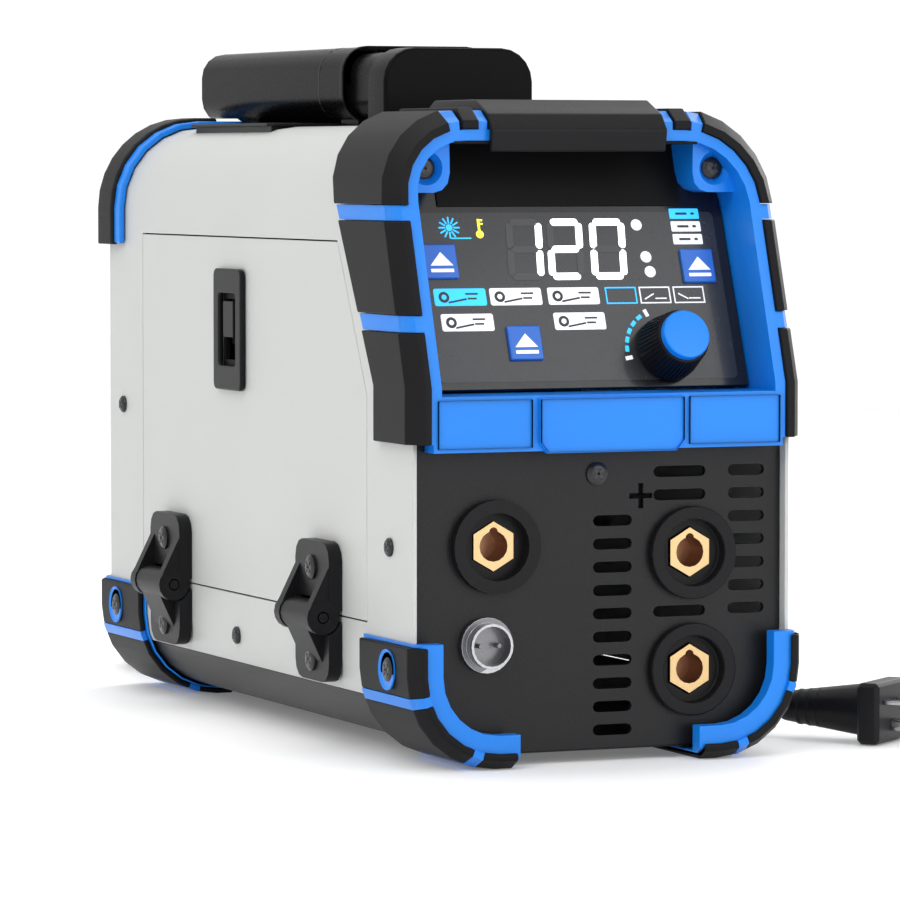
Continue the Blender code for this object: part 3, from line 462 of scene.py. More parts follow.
for side_name, side in (("left", -1), ("right", 1)):
    cx, cz = HOOD_TURN
    arc = [math.radians(a) for a in range(8, 84, 10)]
    points = [(cx + BOSS_R * math.cos(a), cz + BOSS_R * math.sin(a)) for a in arc]
    points += [(48.6, 213.5), (49.4, 209.6), (51.6, 207.2), (54.8, 206.2)]
    boss = bmesh.new()
    hole_x, hole_z = side * HOLE_AT[0], HOLE_AT[1]
    hole_at = Vector((MIDDLE + hole_x * MM, BOSS_Y * MM, hole_z * MM))
    edges = outline(boss, [(side * x, z) for x, z in points], BOSS_Y)[1]
    ring = [math.radians(15 * i) for i in range(24)]
    circle = [(hole_x + HOLE_R * math.cos(a), hole_z + HOLE_R * math.sin(a)) for a in ring]
    rim = outline(boss, circle, BOSS_Y)[1]
    bmesh.ops.triangle_fill(boss, use_beauty=True, edges=edges + rim)
    bmesh.ops.contextual_create(boss, geom=moved(boss, edges, (0, BOSS_DEEP * MM, 0)))
    bmesh.ops.contextual_create(boss, geom=moved(boss, rim, (0, 0.0030, 0), 0.68, hole_at))
    piece(f"hood_boss_{side_name}", boss, BLUE, "machine", 30.0)
    sunk = hole_at + Vector((0, 0.0029, 0))
    screw(f"hood_boss_screw_{side_name}", sunk, (0, -1, 0), "machine", 0.0040)
print("bosses", BOSS_DEEP, "mm deep")

# %% Painted shade under the ceiling, and the small top pads
PANEL_LEAN = math.radians(-20.5)
# Thin black slabs of painted shade under the hood's top bar and across the panel's header.
PAINTED_SHADE_SHEETS = {
    "hood_lining": ((MIDDLE, -0.1265, 0.2243), 0.0, (0.097, 0.026, 0.0010, 1)),
    "panel_header": ((MIDDLE, -0.1195, 0.2125), PANEL_LEAN, (0.098, 0.0012, 0.0245, 1)),
}
for name, (middle, lean, size) in PAINTED_SHADE_SHEETS.items():
    slab = bmesh.new()
    bmesh.ops.create_cube(slab, size=1.0)
    place = Matrix.Translation(middle) @ Matrix.Rotation(lean, 4, "X") @ Matrix.Diagonal(size)
    bmesh.ops.transform(slab, matrix=place, verts=slab.verts)
    round_edges(slab, 0.0003)
    piece(name, slab, SHADOW, "machine")
TOP_PAD = [
    (0.3, -140.1), (3.2, -140.1), (8, -133.1), (8, -80.4), (6, -77.9), (5, -77.9), (5, -107.8),
    (0.3, -107.8),
]
for side_name, side in (("left", -1), ("right", 1)):
    pad = bmesh.new()
    corners = [pad.verts.new((MIDDLE + side * 0.0392, y * MM, (229 + n) * MM)) for n, y in TOP_PAD]
    grown = bmesh.ops.extrude_face_region(pad, geom=[pad.faces.new(corners)])
    bmesh.ops.translate(pad, vec=(side * 0.0064, 0, 0), verts=new_verts(grown))
    bmesh.ops.recalc_face_normals(pad, faces=pad.faces[:])
    round_edges(pad, 0.0007, 25.0)
    piece(f"hood_pad_{side_name}_top", pad, RUBBER, "machine")


# %% Raised frames on the fascia
def raised_frame(name, points, y, width, rise, material):
    """A flat frame: an outline is filled and inset, its middle removed, and the rest drawn out."""
    bm = bmesh.new()
    face = bm.faces.new(outline(bm, points, y)[0])
    bmesh.ops.inset_region(
        bm, faces=[face], thickness=width * MM, use_boundary=True, use_even_offset=True,
    )
    bmesh.ops.delete(bm, geom=[face], context="FACES_ONLY")
    grown = bmesh.ops.extrude_face_region(bm, geom=bm.faces[:])
    bmesh.ops.translate(bm, vec=(0, -rise * MM, 0), verts=new_verts(grown))
    bmesh.ops.recalc_face_normals(bm, faces=bm.faces[:])
    round_edges(bm, rise * 0.35 * MM, 50.0, 1)
    return piece(name, bm, material, "machine")


FRAMES = {
    "plaque": (
        -170.45,
        [(-28.2, 132.6), (-28.2, 117.2), (-25.3, 113.6), (25.3, 113.6), (28.2, 117.2), (28.2, 132.6)],
    ),
    "left": (-168.95, [(-67.5, 132.6), (-67.5, 115.4), (-31.2, 115.4), (-31.2, 132.6)]),
    "right": (-168.95, [(31.2, 132.6), (31.2, 115.4), (67.5, 115.4), (67.5, 132.6)]),
}
for name, (y, points) in FRAMES.items():
    raised_frame(f"fascia_frame_{name}", points, y, 1.4, 1.2, BLUE)
    # A thin darker blue sheet inside each frame: a painted shadow line along the frame's edge.
    raised_frame(f"fascia_shadow_line_{name}", points, y, 1.9, 0.12, SHADOW_LINE_BLUE)
print("fascia frames", len(FRAMES))

# %% [markdown]
# ## The latch's window
# Through the latch's frame one looks in to a deep pocket that lies in shade, but the door behind it is
# thin, pale sheet. A black sheet of painted shade hides the sheet's edge: two rectangles are bridged to
# a flat ring, and the inner one is drawn inwards by a little more than the sheet's thickness.

# %% A black sheet of painted shade in the latch's window
REVEAL_DEEP = 0.0017
SHADE_SHEET_THICK = 0.0001
LATCH_AT = [(a + b) / 2 for a, b in zip(*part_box("latch_frame"))]
# A black ring of painted shade that hides the door sheet's pale edge in the latch's window.
latch_shade_sheet = bmesh.new()
loops = []
for half_y, half_z in ((9.4, 14.4), (7.3, 11.8)):
    sides = ((-1, -1), (1, -1), (1, 1), (-1, 1))
    window_corners = [(LATCH_AT[1] + y * half_y * MM, LATCH_AT[2] + z * half_z * MM) for y, z in sides]
    verts = [latch_shade_sheet.verts.new((LEFT - 0.0001, y, z)) for y, z in window_corners]
    loops.append([latch_shade_sheet.edges.new(pair) for pair in zip(verts, verts[1:] + verts[:1])])
bmesh.ops.bridge_loops(latch_shade_sheet, edges=loops[0] + loops[1])
grown = bmesh.ops.extrude_edge_only(latch_shade_sheet, edges=loops[1])
bmesh.ops.translate(latch_shade_sheet, vec=(REVEAL_DEEP, 0, 0), verts=new_verts(grown))
bmesh.ops.recalc_face_normals(latch_shade_sheet, faces=latch_shade_sheet.faces[:])
bmesh.ops.solidify(latch_shade_sheet, geom=latch_shade_sheet.faces[:], thickness=SHADE_SHEET_THICK)
piece("latch_painted_shade", latch_shade_sheet, SHADOW, "door")
print("latch window lined", REVEAL_DEEP, "m deep")

# %% [markdown]
# ## Rear corner pads
# The rear frame carries a soft black moulding over the top corners, with the blue showing in front of
# it. Its section is drawn once, pushed up the side, spun round the shoulder and pushed to the middle.

# %% Rear pads
REAR_SECTION = [
    (5.0, 149.0), (7.4, 149.0), (7.9, 150.5), (7.9, 165.5), (5.5, 169.6), (0.5, 169.6), (0.5, 168.2),
    (5.0, 166.0),
]
PAD_FOOT, SHOULDER_Z = 0.1835, 0.1984
SHOULDER = Vector((MIDDLE - 0.042, 0, SHOULDER_Z))
rear_pad = bmesh.new()
corners = [rear_pad.verts.new((MIDDLE - (71.0 + n) * MM, y * MM, PAD_FOOT)) for n, y in REAR_SECTION]
grown = bmesh.ops.extrude_face_region(rear_pad, geom=[rear_pad.faces.new(corners)])
end_verts = new_verts(grown)
bmesh.ops.translate(rear_pad, vec=(0, 0, SHOULDER_Z - PAD_FOOT), verts=end_verts)
end_face = [part for part in grown["geom"] if isinstance(part, bmesh.types.BMFace)]
spun = bmesh.ops.spin(
    rear_pad, geom=end_face + [e for f in end_face for e in f.edges] + end_verts, cent=SHOULDER,
    axis=(0, 1, 0), angle=math.pi / 2, steps=8, use_duplicate=False,
)["geom_last"]
last = [part for part in spun if isinstance(part, bmesh.types.BMFace)]
grown = bmesh.ops.extrude_face_region(rear_pad, geom=last)
bmesh.ops.translate(rear_pad, vec=(0.0095, 0, 0), verts=new_verts(grown))
bmesh.ops.delete(rear_pad, geom=[f for f in last if f.is_valid], context="FACES_ONLY")
bmesh.ops.remove_doubles(rear_pad, verts=rear_pad.verts[:], dist=1e-6)
bmesh.ops.recalc_face_normals(rear_pad, faces=rear_pad.faces[:])
round_edges(rear_pad, 0.0006, 25.0)
other = rear_pad.copy()
piece("rear_pad_left", rear_pad, RUBBER, "machine")
bmesh.ops.scale(other, vec=(-1, 1, 1), verts=other.verts, space=Matrix.Translation((-MIDDLE, 0, 0)))
piece("rear_pad_right", other, RUBBER, "machine")
print("hood corners and rear pads made")

# %% [markdown]
# ## Pads on the corner guards
# Each lower corner carries a soft moulding in three fields with the blue guard showing between
# them. One long pad is sliced across its run by planes through the centre of the corner, and the
# slices between the fields become low blue ribs. bisect_plane cuts, and holes_fill caps the cut.


# %% Slicing the pads
CORNER_X, CORNER_Z = 0.044, 0.034


def slice_of(node, side, start, stop):
    """The part of a guard pad between two angles: 0 is level with the centre, 90 is under it."""
    bm = copy_of(node)
    centre = Vector((MIDDLE + side * CORNER_X, 0, CORNER_Z))
    for angle, keep_after in ((start, True), (stop, False)):
        if angle is None:
            continue
        turn = math.radians(angle)
        along = Vector((-side * math.sin(turn), 0, -math.cos(turn)))
        bisected = bmesh.ops.bisect_plane(
            bm, geom=bm.verts[:] + bm.edges[:] + bm.faces[:], plane_co=centre, plane_no=along,
            clear_inner=keep_after, clear_outer=not keep_after,
        )
        bmesh.ops.holes_fill(bm, edges=cut_edges(bisected), sides=0)
    return bm


FIELDS = {"upper": (None, 13.0), "corner": (20.0, 69.0), "foot": (77.0, None)}
RIBS = {"upper": (13.0, 20.0), "lower": (69.0, 77.0)}
RIB_SIZE = 0.985
for end in ("front", "rear"):
    for side_name, side in (("left", -1), ("right", 1)):
        node = f"guard_pad_{end}_{side_name}"
        for field, (start, stop) in FIELDS.items():
            bm = slice_of(node, side, start, stop)
            round_edges(bm, 0.0009, 30.0)
            piece(f"{node}_{field}", bm, RUBBER, "machine")
        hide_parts(node)
        for field, (start, stop) in RIBS.items():
            bm = slice_of(node, side, start, stop)
            centre = sum((v.co for v in bm.verts), Vector()) / len(bm.verts)
            bmesh.ops.scale(bm, vec=(RIB_SIZE,) * 3, verts=bm.verts, space=Matrix.Translation(-centre))
            piece(f"{node}_{field}_rib", bm, BLUE, "machine")
print("guard pads sliced")

# %% Blue rings and screws on the guards' upper fields
for end, y in (("front", -0.147), ("rear", 0.147)):
    for side_name, side in (("left", -1), ("right", 1)):
        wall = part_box(f"guard_pad_{end}_{side_name}")[0 if side < 0 else 1][0]
        point = Vector((wall, y, 0.0355))
        bm = bmesh.new()
        disc(bm, facing(point, (side, 0, 0)), 0.0074, 0.0006, 36)
        top = max(bm.faces, key=lambda face: side * face.calc_center_median().x)
        bmesh.ops.inset_region(bm, faces=[top], thickness=0.0018)
        bmesh.ops.translate(bm, vec=(-side * 0.0010, 0, 0), verts=top.verts)
        piece(f"guard_ring_{end}_{side_name}", bm, BLUE, "machine")
        sunk = point - Vector((side * 0.0009, 0, 0))
        screw(f"guard_screw_{end}_{side_name}", sunk, (side, 0, 0), "machine", BIG_SCREW)

# %% [markdown]
# ## Seams on the grip
# The grip is two mouldings: a long sleeve with a lip at its front end, and a seam where its halves
# meet. A band that follows the grip's rounded section marks each.

# %% Grip bands
GRIP_BOTTOM = 0.2332
GRIP_ROUND = 0.0102


def grip_band(name, y, width, proud, material):
    """A thin rounded slab that stands a little proud of the grip all round."""
    low, high = (Vector(corner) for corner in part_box("handle_grip"))
    bm = bmesh.new()
    made = bmesh.ops.create_grid(bm, x_segments=1, y_segments=1, size=0.5)["verts"]
    size = (high.x - low.x + 2 * proud, high.z - GRIP_BOTTOM + 2 * proud)
    bmesh.ops.scale(bm, vec=(size[0], size[1], 1), verts=made)
    bmesh.ops.bevel(
        bm, geom=made, offset=GRIP_ROUND + proud, segments=6, profile=0.5, affect="VERTICES",
        material=-1,
    )
    grown = bmesh.ops.extrude_face_region(bm, geom=bm.faces[:])
    bmesh.ops.translate(bm, vec=(0, 0, width), verts=new_verts(grown))
    middle = Matrix.Translation(((low.x + high.x) / 2, y, (GRIP_BOTTOM + high.z) / 2))
    bmesh.ops.transform(bm, matrix=middle @ Matrix.Rotation(math.radians(90), 4, "X"), verts=bm.verts)
    bmesh.ops.recalc_face_normals(bm, faces=bm.faces[:])
    round_edges(bm, min(0.0003, width / 4), 60.0, 1)
    piece(name, bm, material, "machine")


grip_band("grip_lip", 0.0155, 0.0035, 0.0004, GRIP)
grip_band("grip_seam", 0.0385, 0.0006, 0.00012, INK)
print("grip bands made")

# %% [markdown]
# ## The mains cord
# A mains cord is one fixed length of something flexible. It leaves the gland at the back, drops to
# the floor, is wound in a neat coil close behind the machine, and runs along the right side to its
# plug. A curve with a round bevel keeps its thickness the same all the way.

# %% The cord's route
CORD_D = 0.0084
FLOOR_Z = 4.4
SHIFT = MIDDLE / MM
COIL_X, COIL_Y = 10.0, 231.0
ROUTE_OUT = [
    (42, 197.2, 40), (43, 209, 39.6), (52.5, 220, 37.5), (66, 230.5, 29.5), (74, 244, 16),
    (74.5, 257, 7), (68, 269, FLOOR_Z), (54.5, 277.3, FLOOR_Z), (38.3, 280.0, FLOOR_Z),
]
ROUTE_PLUG = [
    (10, 174.6, FLOOR_Z), (30, 176.5, FLOOR_Z), (52, 181, FLOOR_Z), (72, 182, FLOOR_Z),
    (90, 173, FLOOR_Z), (99, 155, FLOOR_Z), (98, 115, FLOOR_Z), (94, 60, FLOOR_Z),
    (96, 0, FLOOR_Z), (92, -50, FLOOR_Z),
    (87.5, -78, 6.5), (90, -101.5, 11), (97.6, -112.2, 11.9),
]
# The coil as (turned angle, radius, height): two turns side by side, and two more on top.
COIL = [
    (75, 54.5, 4.4), (100, 50.0, 4.4), (130, 47.3, 4.4), (380, 47.3, 4.4), (440, 38.7, 4.4),
    (750, 38.7, 4.4), (815, 38.7, 13.0), (1130, 38.7, 13.0), (1190, 47.3, 13.0),
    (1590, 47.3, 13.0), (1650, 52.0, 11.8),
    (1685, 56.0, 6.0),
]


def on_coil(step=15):
    """Points along the coil, with an eased change of radius and height between its rows."""
    points = []
    for (a0, r0, z0), (a1, r1, z1) in zip(COIL, COIL[1:]):
        count = max(1, round((a1 - a0) / step))
        for i in range(count):
            t = i / count
            ease = t * t * (3 - 2 * t)
            angle = math.radians(a0 + (a1 - a0) * t)
            radius = r0 + (r1 - r0) * ease
            height = z0 + (z1 - z0) * ease
            points.append((COIL_X + radius * math.cos(angle), COIL_Y + radius * math.sin(angle), height))
    return points


def smooth(points, steps=6):
    """More points on the smooth curve through these (Catmull-Rom)."""
    route = [Vector(p) for p in points]
    route = [route[0] * 2 - route[1]] + route + [route[-1] * 2 - route[-2]]
    fine = []
    for a, b, c, d in zip(route, route[1:], route[2:], route[3:]):
        for i in range(steps):
            t = i / steps
            bend = (2 * a - 5 * b + 4 * c - d) * t * t + (3 * b - a - 3 * c + d) * t ** 3
            fine.append(0.5 * (2 * b + (c - a) * t + bend))
    return fine + [route[-2]]


cord_line = [(p + Vector((SHIFT, 0, 0))) * MM for p in smooth(ROUTE_OUT + on_coil() + ROUTE_PLUG)]
cord_length = sum((b - a).length for a, b in zip(cord_line, cord_line[1:]))
print("cord length", round(cord_length, 3))

# %% The cord, its plug and blades
cord_curve = bpy.data.curves.new("mains_cord", "CURVE")
cord_curve.dimensions = "3D"
cord_curve.bevel_depth = CORD_D / 2
cord_curve.bevel_resolution = 5
cord_curve.use_fill_caps = True
spline = cord_curve.splines.new("POLY")
spline.points.add(len(cord_line) - 1)
for knot, point in zip(spline.points, cord_line):
    knot.co = (*point, 1.0)
spline.use_smooth = True
cord_curve.materials.append(JACKET)
mains_cord = bpy.data.objects.new("mains_cord", cord_curve)
bpy.context.scene.collection.objects.link(mains_cord)
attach(mains_cord, "machine")
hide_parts("cord_to_coil", "cord_coil", "cord_to_plug")

PLUG = Matrix.Translation((0.121 + MIDDLE, -0.140, 0.0119)) @ Matrix.Rotation(math.radians(-50), 4, "Z")
plug_bm = copy_of("cord_plug")
bisected = bmesh.ops.bisect_plane(
    plug_bm, geom=plug_bm.verts[:] + plug_bm.edges[:] + plug_bm.faces[:],
    plane_co=PLUG @ Vector((0.0095, 0, 0)), plane_no=PLUG.to_3x3() @ Vector((1, 0, 0)), clear_outer=True,
)
bmesh.ops.holes_fill(plug_bm, edges=cut_edges(bisected), sides=0)
round_edges(plug_bm, 0.0006, 35.0)
plug = piece("plug_body", plug_bm, BLACK, "machine")
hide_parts("cord_plug")
blades = bmesh.new()
for y in (-6.3, 6.3):
    blade = bmesh.ops.create_cube(blades, size=1.0)["verts"]
    place = Matrix.Translation((0.0165, y * MM, 0.004)) @ Matrix.Diagonal((0.0147, 0.0063, 0.0015, 1))
    bmesh.ops.transform(blades, matrix=place, verts=blade)
earth_pin = Matrix.Translation((0.009, 0, -0.005)) @ Matrix.Rotation(math.pi / 2, 4, "Y")
disc(blades, earth_pin, 0.0024, 0.0148, 20, 0.0021)
round_edges(blades, 0.0002, 50.0, 1)
bmesh.ops.transform(blades, matrix=PLUG, verts=blades.verts)
piece("plug_blades", blades, CHROME, "machine")
ribs = bmesh.new()
for i in range(5):
    turn = PLUG @ Matrix.Translation((-0.029 + i * 0.0042, 0, 0)) @ Matrix.Rotation(math.pi / 2, 4, "Y")
    disc(ribs, turn, 0.0068 + i * 0.0004, 0.0018, 28)
round_edges(ribs, 0.0004, 50.0)
piece("plug_strain_ribs", ribs, BLACK, "machine")

# %% [markdown]
# ## Studio
# A pale floor that meets the background without a line, a soft key from the upper left, a weaker
# fill from the right, a wide ceiling, and a light behind that draws the edges of the black parts.

# %% Floor and lights
floor_mesh = bpy.data.meshes.new("floor")
floor_bm = bmesh.new()
bmesh.ops.create_grid(floor_bm, x_segments=1, y_segments=1, size=2.2)
floor_bm.to_mesh(floor_mesh)
floor_bm.free()
pale = finish("pale_floor", (0.93, 0.93, 0.93), 0.6, grain=40.0, bump=0.0, vary=0.01)
pale.node_tree.nodes["Principled BSDF"].inputs["Emission Color"].default_value = (1, 1, 1, 1)
pale.node_tree.nodes["Principled BSDF"].inputs["Emission Strength"].default_value = 0.14
floor_mesh.materials.append(pale)
floor = bpy.data.objects.new("floor", floor_mesh)
bpy.context.scene.collection.objects.link(floor)


def softbox(name, place, aim, size, power):
    """A rectangular area light that faces a point."""
    light = bpy.data.lights.new(name, "AREA")
    light.shape = "RECTANGLE"
    light.size, light.size_y = size
    light.energy = power
    made = bpy.data.objects.new(name, light)
    made.location = place
    made.rotation_euler = (Vector(aim) - Vector(place)).to_track_quat("-Z", "Y").to_euler()
    bpy.context.scene.collection.objects.link(made)


softbox("key", (-1.3, -1.2, 1.5), (0, 0, 0.1), (1.2, 1.2), 13)
softbox("front_fill", (0.9, -1.9, 0.8), (0, 0, 0.1), (1.0, 1.4), 9)
softbox("top_strip", (0.0, 0.3, 1.4), (0, 0, 0.2), (1.6, 0.7), 7)
softbox("ceiling", (0, 0, 9.0), (0, 0, 0), (60.0, 60.0), 3600)
softbox("rim", (1.3, 1.1, 0.9), (0, 0, 0.15), (0.6, 1.2), 8)
world = bpy.data.worlds.new("studio")
bpy.context.scene.world = world
world.use_nodes = True
sky = world.node_tree
direction = sky.nodes.new("ShaderNodeTexCoord")
split = sky.nodes.new("ShaderNodeSeparateXYZ")
fade = sky.nodes.new("ShaderNodeMapRange")
fade.inputs["From Min"].default_value = 0.12
fade.inputs["From Max"].default_value = 0.35
fade.inputs["To Min"].default_value = 1.05
fade.inputs["To Max"].default_value = 0.55
sky.links.new(direction.outputs["Generated"], split.inputs["Vector"])
sky.links.new(split.outputs["Z"], fade.inputs["Value"])
sky.links.new(fade.outputs["Result"], sky.nodes["Background"].inputs["Strength"])
sky.nodes["Background"].inputs["Color"].default_value = (1.0, 1.0, 1.0, 1)
bpy.context.scene.view_settings.view_transform = "Standard"
print("lights", len(bpy.data.lights))

# %% [markdown]
# ## The control panel
# The panel's plane comes from the knob's joint: its axis is the panel's inward normal. Every printed
# symbol is a sheet a tenth of a millimetre thick, laid on the panel by one matrix.

# %% The panel's plane
KNOB_AT = (33.9, 12.1)
into = Vector(JOINTS["control_knob_turn"]["axis"])
normal = -into
up = normal.cross(Vector((1, 0, 0))).normalized()
knob_foot = Vector(JOINTS["control_knob_turn"]["pos_m"])
foot = knob_foot - Vector((KNOB_AT[0] * MM, 0, 0)) - up * KNOB_AT[1] * MM
PANEL = Matrix((
    (1, up.x, normal.x, foot.x), (0, up.y, normal.y, foot.y), (0, up.z, normal.z, foot.z), (0, 0, 0, 1),
))
print("panel leans", round(math.degrees(math.asin(up.y)), 1), "degrees")


def sheet(bm, x, h, width, height, corner=0.4, lift=0.05, thick=0.12, turn=0.0):
    """A thin rounded rectangle on the panel, in the panel's millimetres."""
    made = bmesh.ops.create_grid(bm, x_segments=1, y_segments=1, size=0.5)["verts"]
    bmesh.ops.scale(bm, vec=(width, height, 1), verts=made)
    face = made[0].link_faces[0]
    if corner:
        cut = bmesh.ops.bevel(
            bm, geom=made, offset=corner, segments=3, profile=0.5, affect="VERTICES", material=-1,
        )
        face = cut["verts"][0].link_faces[0]
    finish_sheet(bm, face, x, h, lift, thick, turn)


def finish_sheet(bm, face, x, h, lift, thick, turn=0.0):
    """Gives a flat face its thickness and lays it on the panel."""
    top = new_verts(bmesh.ops.extrude_face_region(bm, geom=[face]))
    bmesh.ops.translate(bm, vec=(0, 0, thick), verts=top)
    verts = list({corner for v in top for e in v.link_edges for corner in e.verts})
    place = PANEL @ Matrix.Diagonal((MM, MM, MM, 1)) @ Matrix.Translation((x, h, lift))
    bmesh.ops.transform(bm, matrix=place @ Matrix.Rotation(turn, 4, "Z"), verts=verts)


def round_sheet(bm, x, h, radius, lift=0.05, thick=0.12, sides=28):
    """A thin disc on the panel."""
    made = bmesh.ops.create_circle(bm, cap_ends=True, segments=sides, radius=radius)["verts"]
    finish_sheet(bm, made[0].link_faces[0], x, h, lift, thick)


# %% Overlay and window
skin("control_panel", GLASSY, 0.0002)
window = bmesh.new()
sheet(window, 2.0, 33.5, 119.0, 65.0, 2.0, 0.02, 0.10)
piece("display_window", window, WINDOW, "machine")

# %% The big digits
DIGIT_W, DIGIT_H, STROKE, SLANT = 14.6, 24.0, 3.0, 0.09
DIGIT_MID = 51.6
PRINT = 0.16  # how far the printed layer lies above the panel
SEGMENTS = {
    "top": (0, 1, "h"), "middle": (0, 0, "h"), "bottom": (0, -1, "h"),
    "top_left": (-1, 0.5, "v"), "top_right": (1, 0.5, "v"),
    "low_left": (-1, -0.5, "v"), "low_right": (1, -0.5, "v"),
}
LIT = {
    "1": ("top_right", "low_right"),
    "2": ("top", "top_right", "middle", "low_left", "bottom"),
    "0": ("top", "top_left", "top_right", "low_left", "low_right", "bottom"),
}
lit = bmesh.new()
unlit = bmesh.new()
for figure, x in zip("120", (-16.6, -0.4, 16.8)):
    for segment, (sx, sh, way) in SEGMENTS.items():
        target = lit if segment in LIT[figure] else unlit
        h = DIGIT_MID + sh * (DIGIT_H - STROKE) / 2
        across = x + sx * (DIGIT_W - STROKE) / 2 + SLANT * (h - DIGIT_MID)
        if way == "h":
            sheet(target, across, h, DIGIT_W - STROKE - 0.6, STROKE - 0.3, 1.2, PRINT)
        else:
            tall = (DIGIT_H - STROKE) / 2 - 0.6
            sheet(target, across, h, STROKE - 0.3, tall, 1.2, PRINT, turn=-SLANT)
piece("digits_lit", lit, DIGIT, "machine")
piece("digits_unlit", unlit, GHOST, "machine")
print("digits shown", 3)

# %% Fields and lamps
white = bmesh.new()
cyan = bmesh.new()
ink = bmesh.new()
ROW_H, LOW_ROW_H = 33.5, 23.8
FIELD_W, FIELD_H = 20.5, 6.6
INKED = 0.29  # ink lies on the fields
FIELDS_AT = [(-45.0, ROW_H), (-23.0, ROW_H), (0.0, ROW_H), (-43.5, LOW_ROW_H), (1.0, LOW_ROW_H)]
MODES_H = (65.2, 60.2, 55.2)
for i, (x, h) in enumerate(FIELDS_AT):
    sheet(white if i else cyan, x, h, FIELD_W, FIELD_H, 0.8, PRINT)
for i, h in enumerate(MODES_H):
    sheet(white if i else cyan, 49.8, h, 12.0, 4.0, 0.4, PRINT)
for x, h in ((29.7, 60.9), (31.6, 48.4), (32.4, 42.6)):
    round_sheet(white, x, h, 2.2, PRINT)
OUTLINE = ((0, 3.0, 12.4, 0.5), (0, -3.0, 12.4, 0.5), (-6.0, 0, 0.5, 6.4), (6.0, 0, 0.5, 6.4))
for x, target in ((19.2, cyan), (32.9, white), (46.7, white)):
    for dx, dh, w, t in OUTLINE:
        sheet(target, x + dx, ROW_H + dh, w, t, 0, PRINT)
print("fields", len(FIELDS_AT))

# %% Small pictures in the fields: a wire reel and its lead, a rising and a falling start
for x, h in FIELDS_AT:
    round_sheet(ink, x - 6.4, h, 2.1, INKED, 0.06)
    round_sheet(cyan if x == FIELDS_AT[0][0] else white, x - 6.4, h, 1.0, 0.36, 0.05)
    sheet(ink, x - 1.2, h - 1.4, 7.4, 0.7, 0.2, INKED, 0.06, turn=0.18)
    sheet(ink, x + 4.6, h + 1.2, 5.0, 0.7, 0.2, INKED, 0.06)
    sheet(ink, x + 4.6, h - 0.6, 3.6, 0.7, 0.2, INKED, 0.06)
for x, slope in ((32.9, 0.5), (46.7, -0.5)):
    sheet(white, x - 2.4, 33.0, 4.4, 0.5, 0, PRINT, turn=slope)
    sheet(white, x + 2.2, 32.2, 4.6, 0.5, 0, PRINT)
for h in MODES_H:
    sheet(ink, 48.6, h, 4.6, 0.9, 0.2, INKED, 0.06)
    sheet(ink, 53.2, h, 1.4, 0.9, 0.2, INKED, 0.06)

# %% Wire reel symbol, key symbol and the knob's scale
REEL_AT, SPOKES, SPOKE_R = (-45.4, 60.2), 12, 2.9
for i in range(SPOKES):
    turn = 2 * math.pi * i / SPOKES
    x, h = REEL_AT[0] + SPOKE_R * math.cos(turn), REEL_AT[1] + SPOKE_R * math.sin(turn)
    sheet(cyan, x, h, 2.6, 0.6, 0.2, PRINT, turn=turn)
round_sheet(cyan, *REEL_AT, 1.3, PRINT)
sheet(cyan, -41.2, 56.1, 8.0, 0.5, 0.1, PRINT)
KEY_X = -33.6
yellow = bmesh.new()
round_sheet(yellow, KEY_X, 57.6, 1.5, PRINT)
sheet(yellow, KEY_X, 61.0, 0.9, 5.0, 0.2, PRINT)
for h in (61.6, 63.0):
    sheet(yellow, KEY_X + 0.9, h, 1.6, 0.7, 0.2, PRINT)
piece("key_symbol", yellow, YELLOW, "machine")
SCALE_R, SCALE_MARKS, SCALE_START, SCALE_STEP = 15.6, 7, 112, 13
for i in range(SCALE_MARKS):
    turn = math.radians(SCALE_START + SCALE_STEP * i)
    x, h = KNOB_AT[0] + SCALE_R * math.cos(turn), KNOB_AT[1] + SCALE_R * math.sin(turn)
    if i in (0, SCALE_MARKS - 1):
        sheet(white, x, h, 2.9, 1.5, 0.2, PRINT, turn=turn)
    else:
        sheet(cyan, x, h, 2.3, 1.5, 0.2, PRINT, turn=turn + math.pi / 2)
piece("cyan_print", cyan, CYAN, "machine")
piece("white_print", white, WHITE_INK, "machine")
piece("ink_print", ink, INK, "machine")
print("scale marks", SCALE_MARKS)

# %% Buttons with their raised arrows
BUTTONS = {"left": (-51.0, 47.0), "centre": (-22.3, 15.5), "right": (51.9, 44.5)}
ON_BUTTON = 1.62
for name, (x, h) in BUTTONS.items():
    skin(f"button_{name}", KEY_BLUE, 0.0004)
    arrow = bmesh.new()
    point = bmesh.ops.create_circle(arrow, cap_ends=True, segments=3, radius=5.2)["verts"]
    bmesh.ops.scale(arrow, vec=(1.0, 0.66, 1), verts=point)
    finish_sheet(arrow, point[0].link_faces[0], x, h - 0.1, ON_BUTTON, 0.15)
    sheet(arrow, x, h - 3.7, 9.0, 1.3, 0.2, ON_BUTTON, 0.15)
    piece(f"button_{name}_arrow", arrow, WHITE_INK, f"button_{name}")
print("buttons", len(BUTTONS))

# %% [markdown]
# ## The knob
# A black collar with fine ribs carries a blue cap. The collar is a turned profile, made by spinning
# a few points round the knob's axis, and the cap's crown has a soft shoulder.


# %% Turning a profile
def turned(name, profile, matrix, material, body, steps=64, angle=35.0):
    """Spins a list of (radius, height) in millimetres round +Z, then places it."""
    bm = bmesh.new()
    points = [bm.verts.new((r * MM, 0, h * MM)) for r, h in profile]
    edges = [bm.edges.new(pair) for pair in zip(points, points[1:])]
    bmesh.ops.spin(
        bm, geom=points + edges, cent=(0, 0, 0), axis=(0, 0, 1), angle=2 * math.pi, steps=steps,
        use_merge=True, use_duplicate=False,
    )
    bmesh.ops.remove_doubles(bm, verts=bm.verts[:], dist=1e-6)
    bmesh.ops.transform(bm, matrix=matrix, verts=bm.verts)
    return piece(name, bm, material, body, angle)


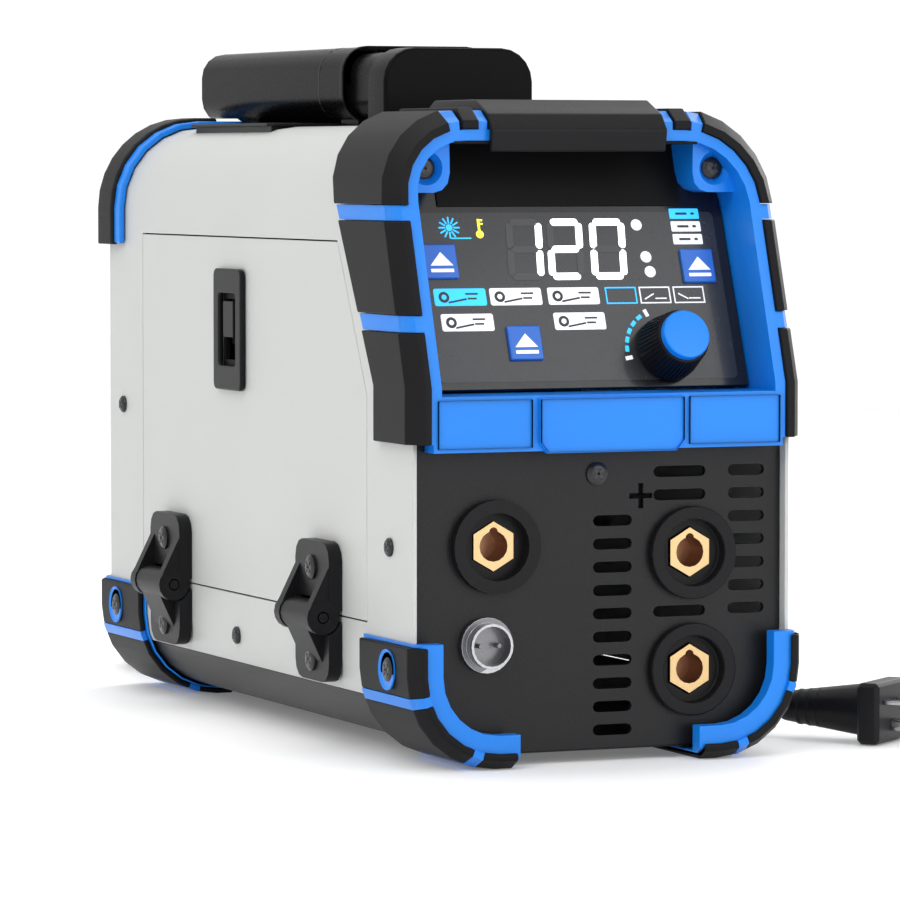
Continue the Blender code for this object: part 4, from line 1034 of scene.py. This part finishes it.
KNOB = PANEL @ Matrix.Translation((KNOB_AT[0] * MM, KNOB_AT[1] * MM, 0))
collar = turned(
    "knob_collar",
    [(0, 1.1), (11.9, 1.1), (12.2, 1.5), (11.9, 3.2), (10.1, 15.2), (9.9, 16.0), (9.4, 16.3), (0, 16.3)],
    KNOB, BLACK, "knob",
)
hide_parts("control_knob")
turned(
    "knob_cap", [(0, 15.4), (9.1, 15.4), (9.2, 18.3), (8.9, 19.0), (8.2, 19.35), (0, 19.4)],
    KNOB, BLUE, "knob",
)
knob_ribs = bmesh.new()
RIB_COUNT = 46
COLLAR_TAPER = Matrix.Rotation(math.radians(-8.5), 4, "Y")
RIB_SIZE_M = (0.0010, 0.0007, 0.0124, 1)
ON_COLLAR = Matrix.Translation((0.01085, 0, 0.0092)) @ COLLAR_TAPER @ Matrix.Diagonal(RIB_SIZE_M)
for i in range(RIB_COUNT):
    rib = bmesh.ops.create_cube(knob_ribs, size=1.0)["verts"]
    turn = Matrix.Rotation(2 * math.pi * i / RIB_COUNT, 4, "Z")
    bmesh.ops.transform(knob_ribs, matrix=turn @ ON_COLLAR, verts=rib)
bmesh.ops.transform(knob_ribs, matrix=KNOB, verts=knob_ribs.verts)
piece("knob_ribs", knob_ribs, BLACK, "knob")
print("knob ribs", RIB_COUNT)

# %% [markdown]
# ## Wire on the spool
# The spool's core is wound with welding wire. A turned sleeve with one small ring for each turn of
# wire catches the light as the real winding does.

# %% The winding
spool_low, spool_high = (Vector(corner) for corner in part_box("wire_spool"))
spool_centre = (spool_low + spool_high) / 2
FLANGES = 6.6
CORE_R, WOUND_R, CREST_R = 40.2, 46.0, 46.5
WIRE_TURNS = 30
width = (spool_high.x - spool_low.x) / MM - FLANGES
profile = [(CORE_R, -width / 2)]
for i in range(WIRE_TURNS):
    h = -width / 2 + width * (i + 0.5) / WIRE_TURNS
    profile += [(WOUND_R, h - width / WIRE_TURNS * 0.4), (CREST_R, h)]
profile += [(WOUND_R, width / 2), (CORE_R, width / 2), (CORE_R, -width / 2)]
place = Matrix.Translation(spool_centre) @ Matrix.Rotation(math.pi / 2, 4, "Y")
turned("wire_winding", profile, place, WIRE, "spool", 72, 20.0)
print("wound width", round(width, 1), "mm")
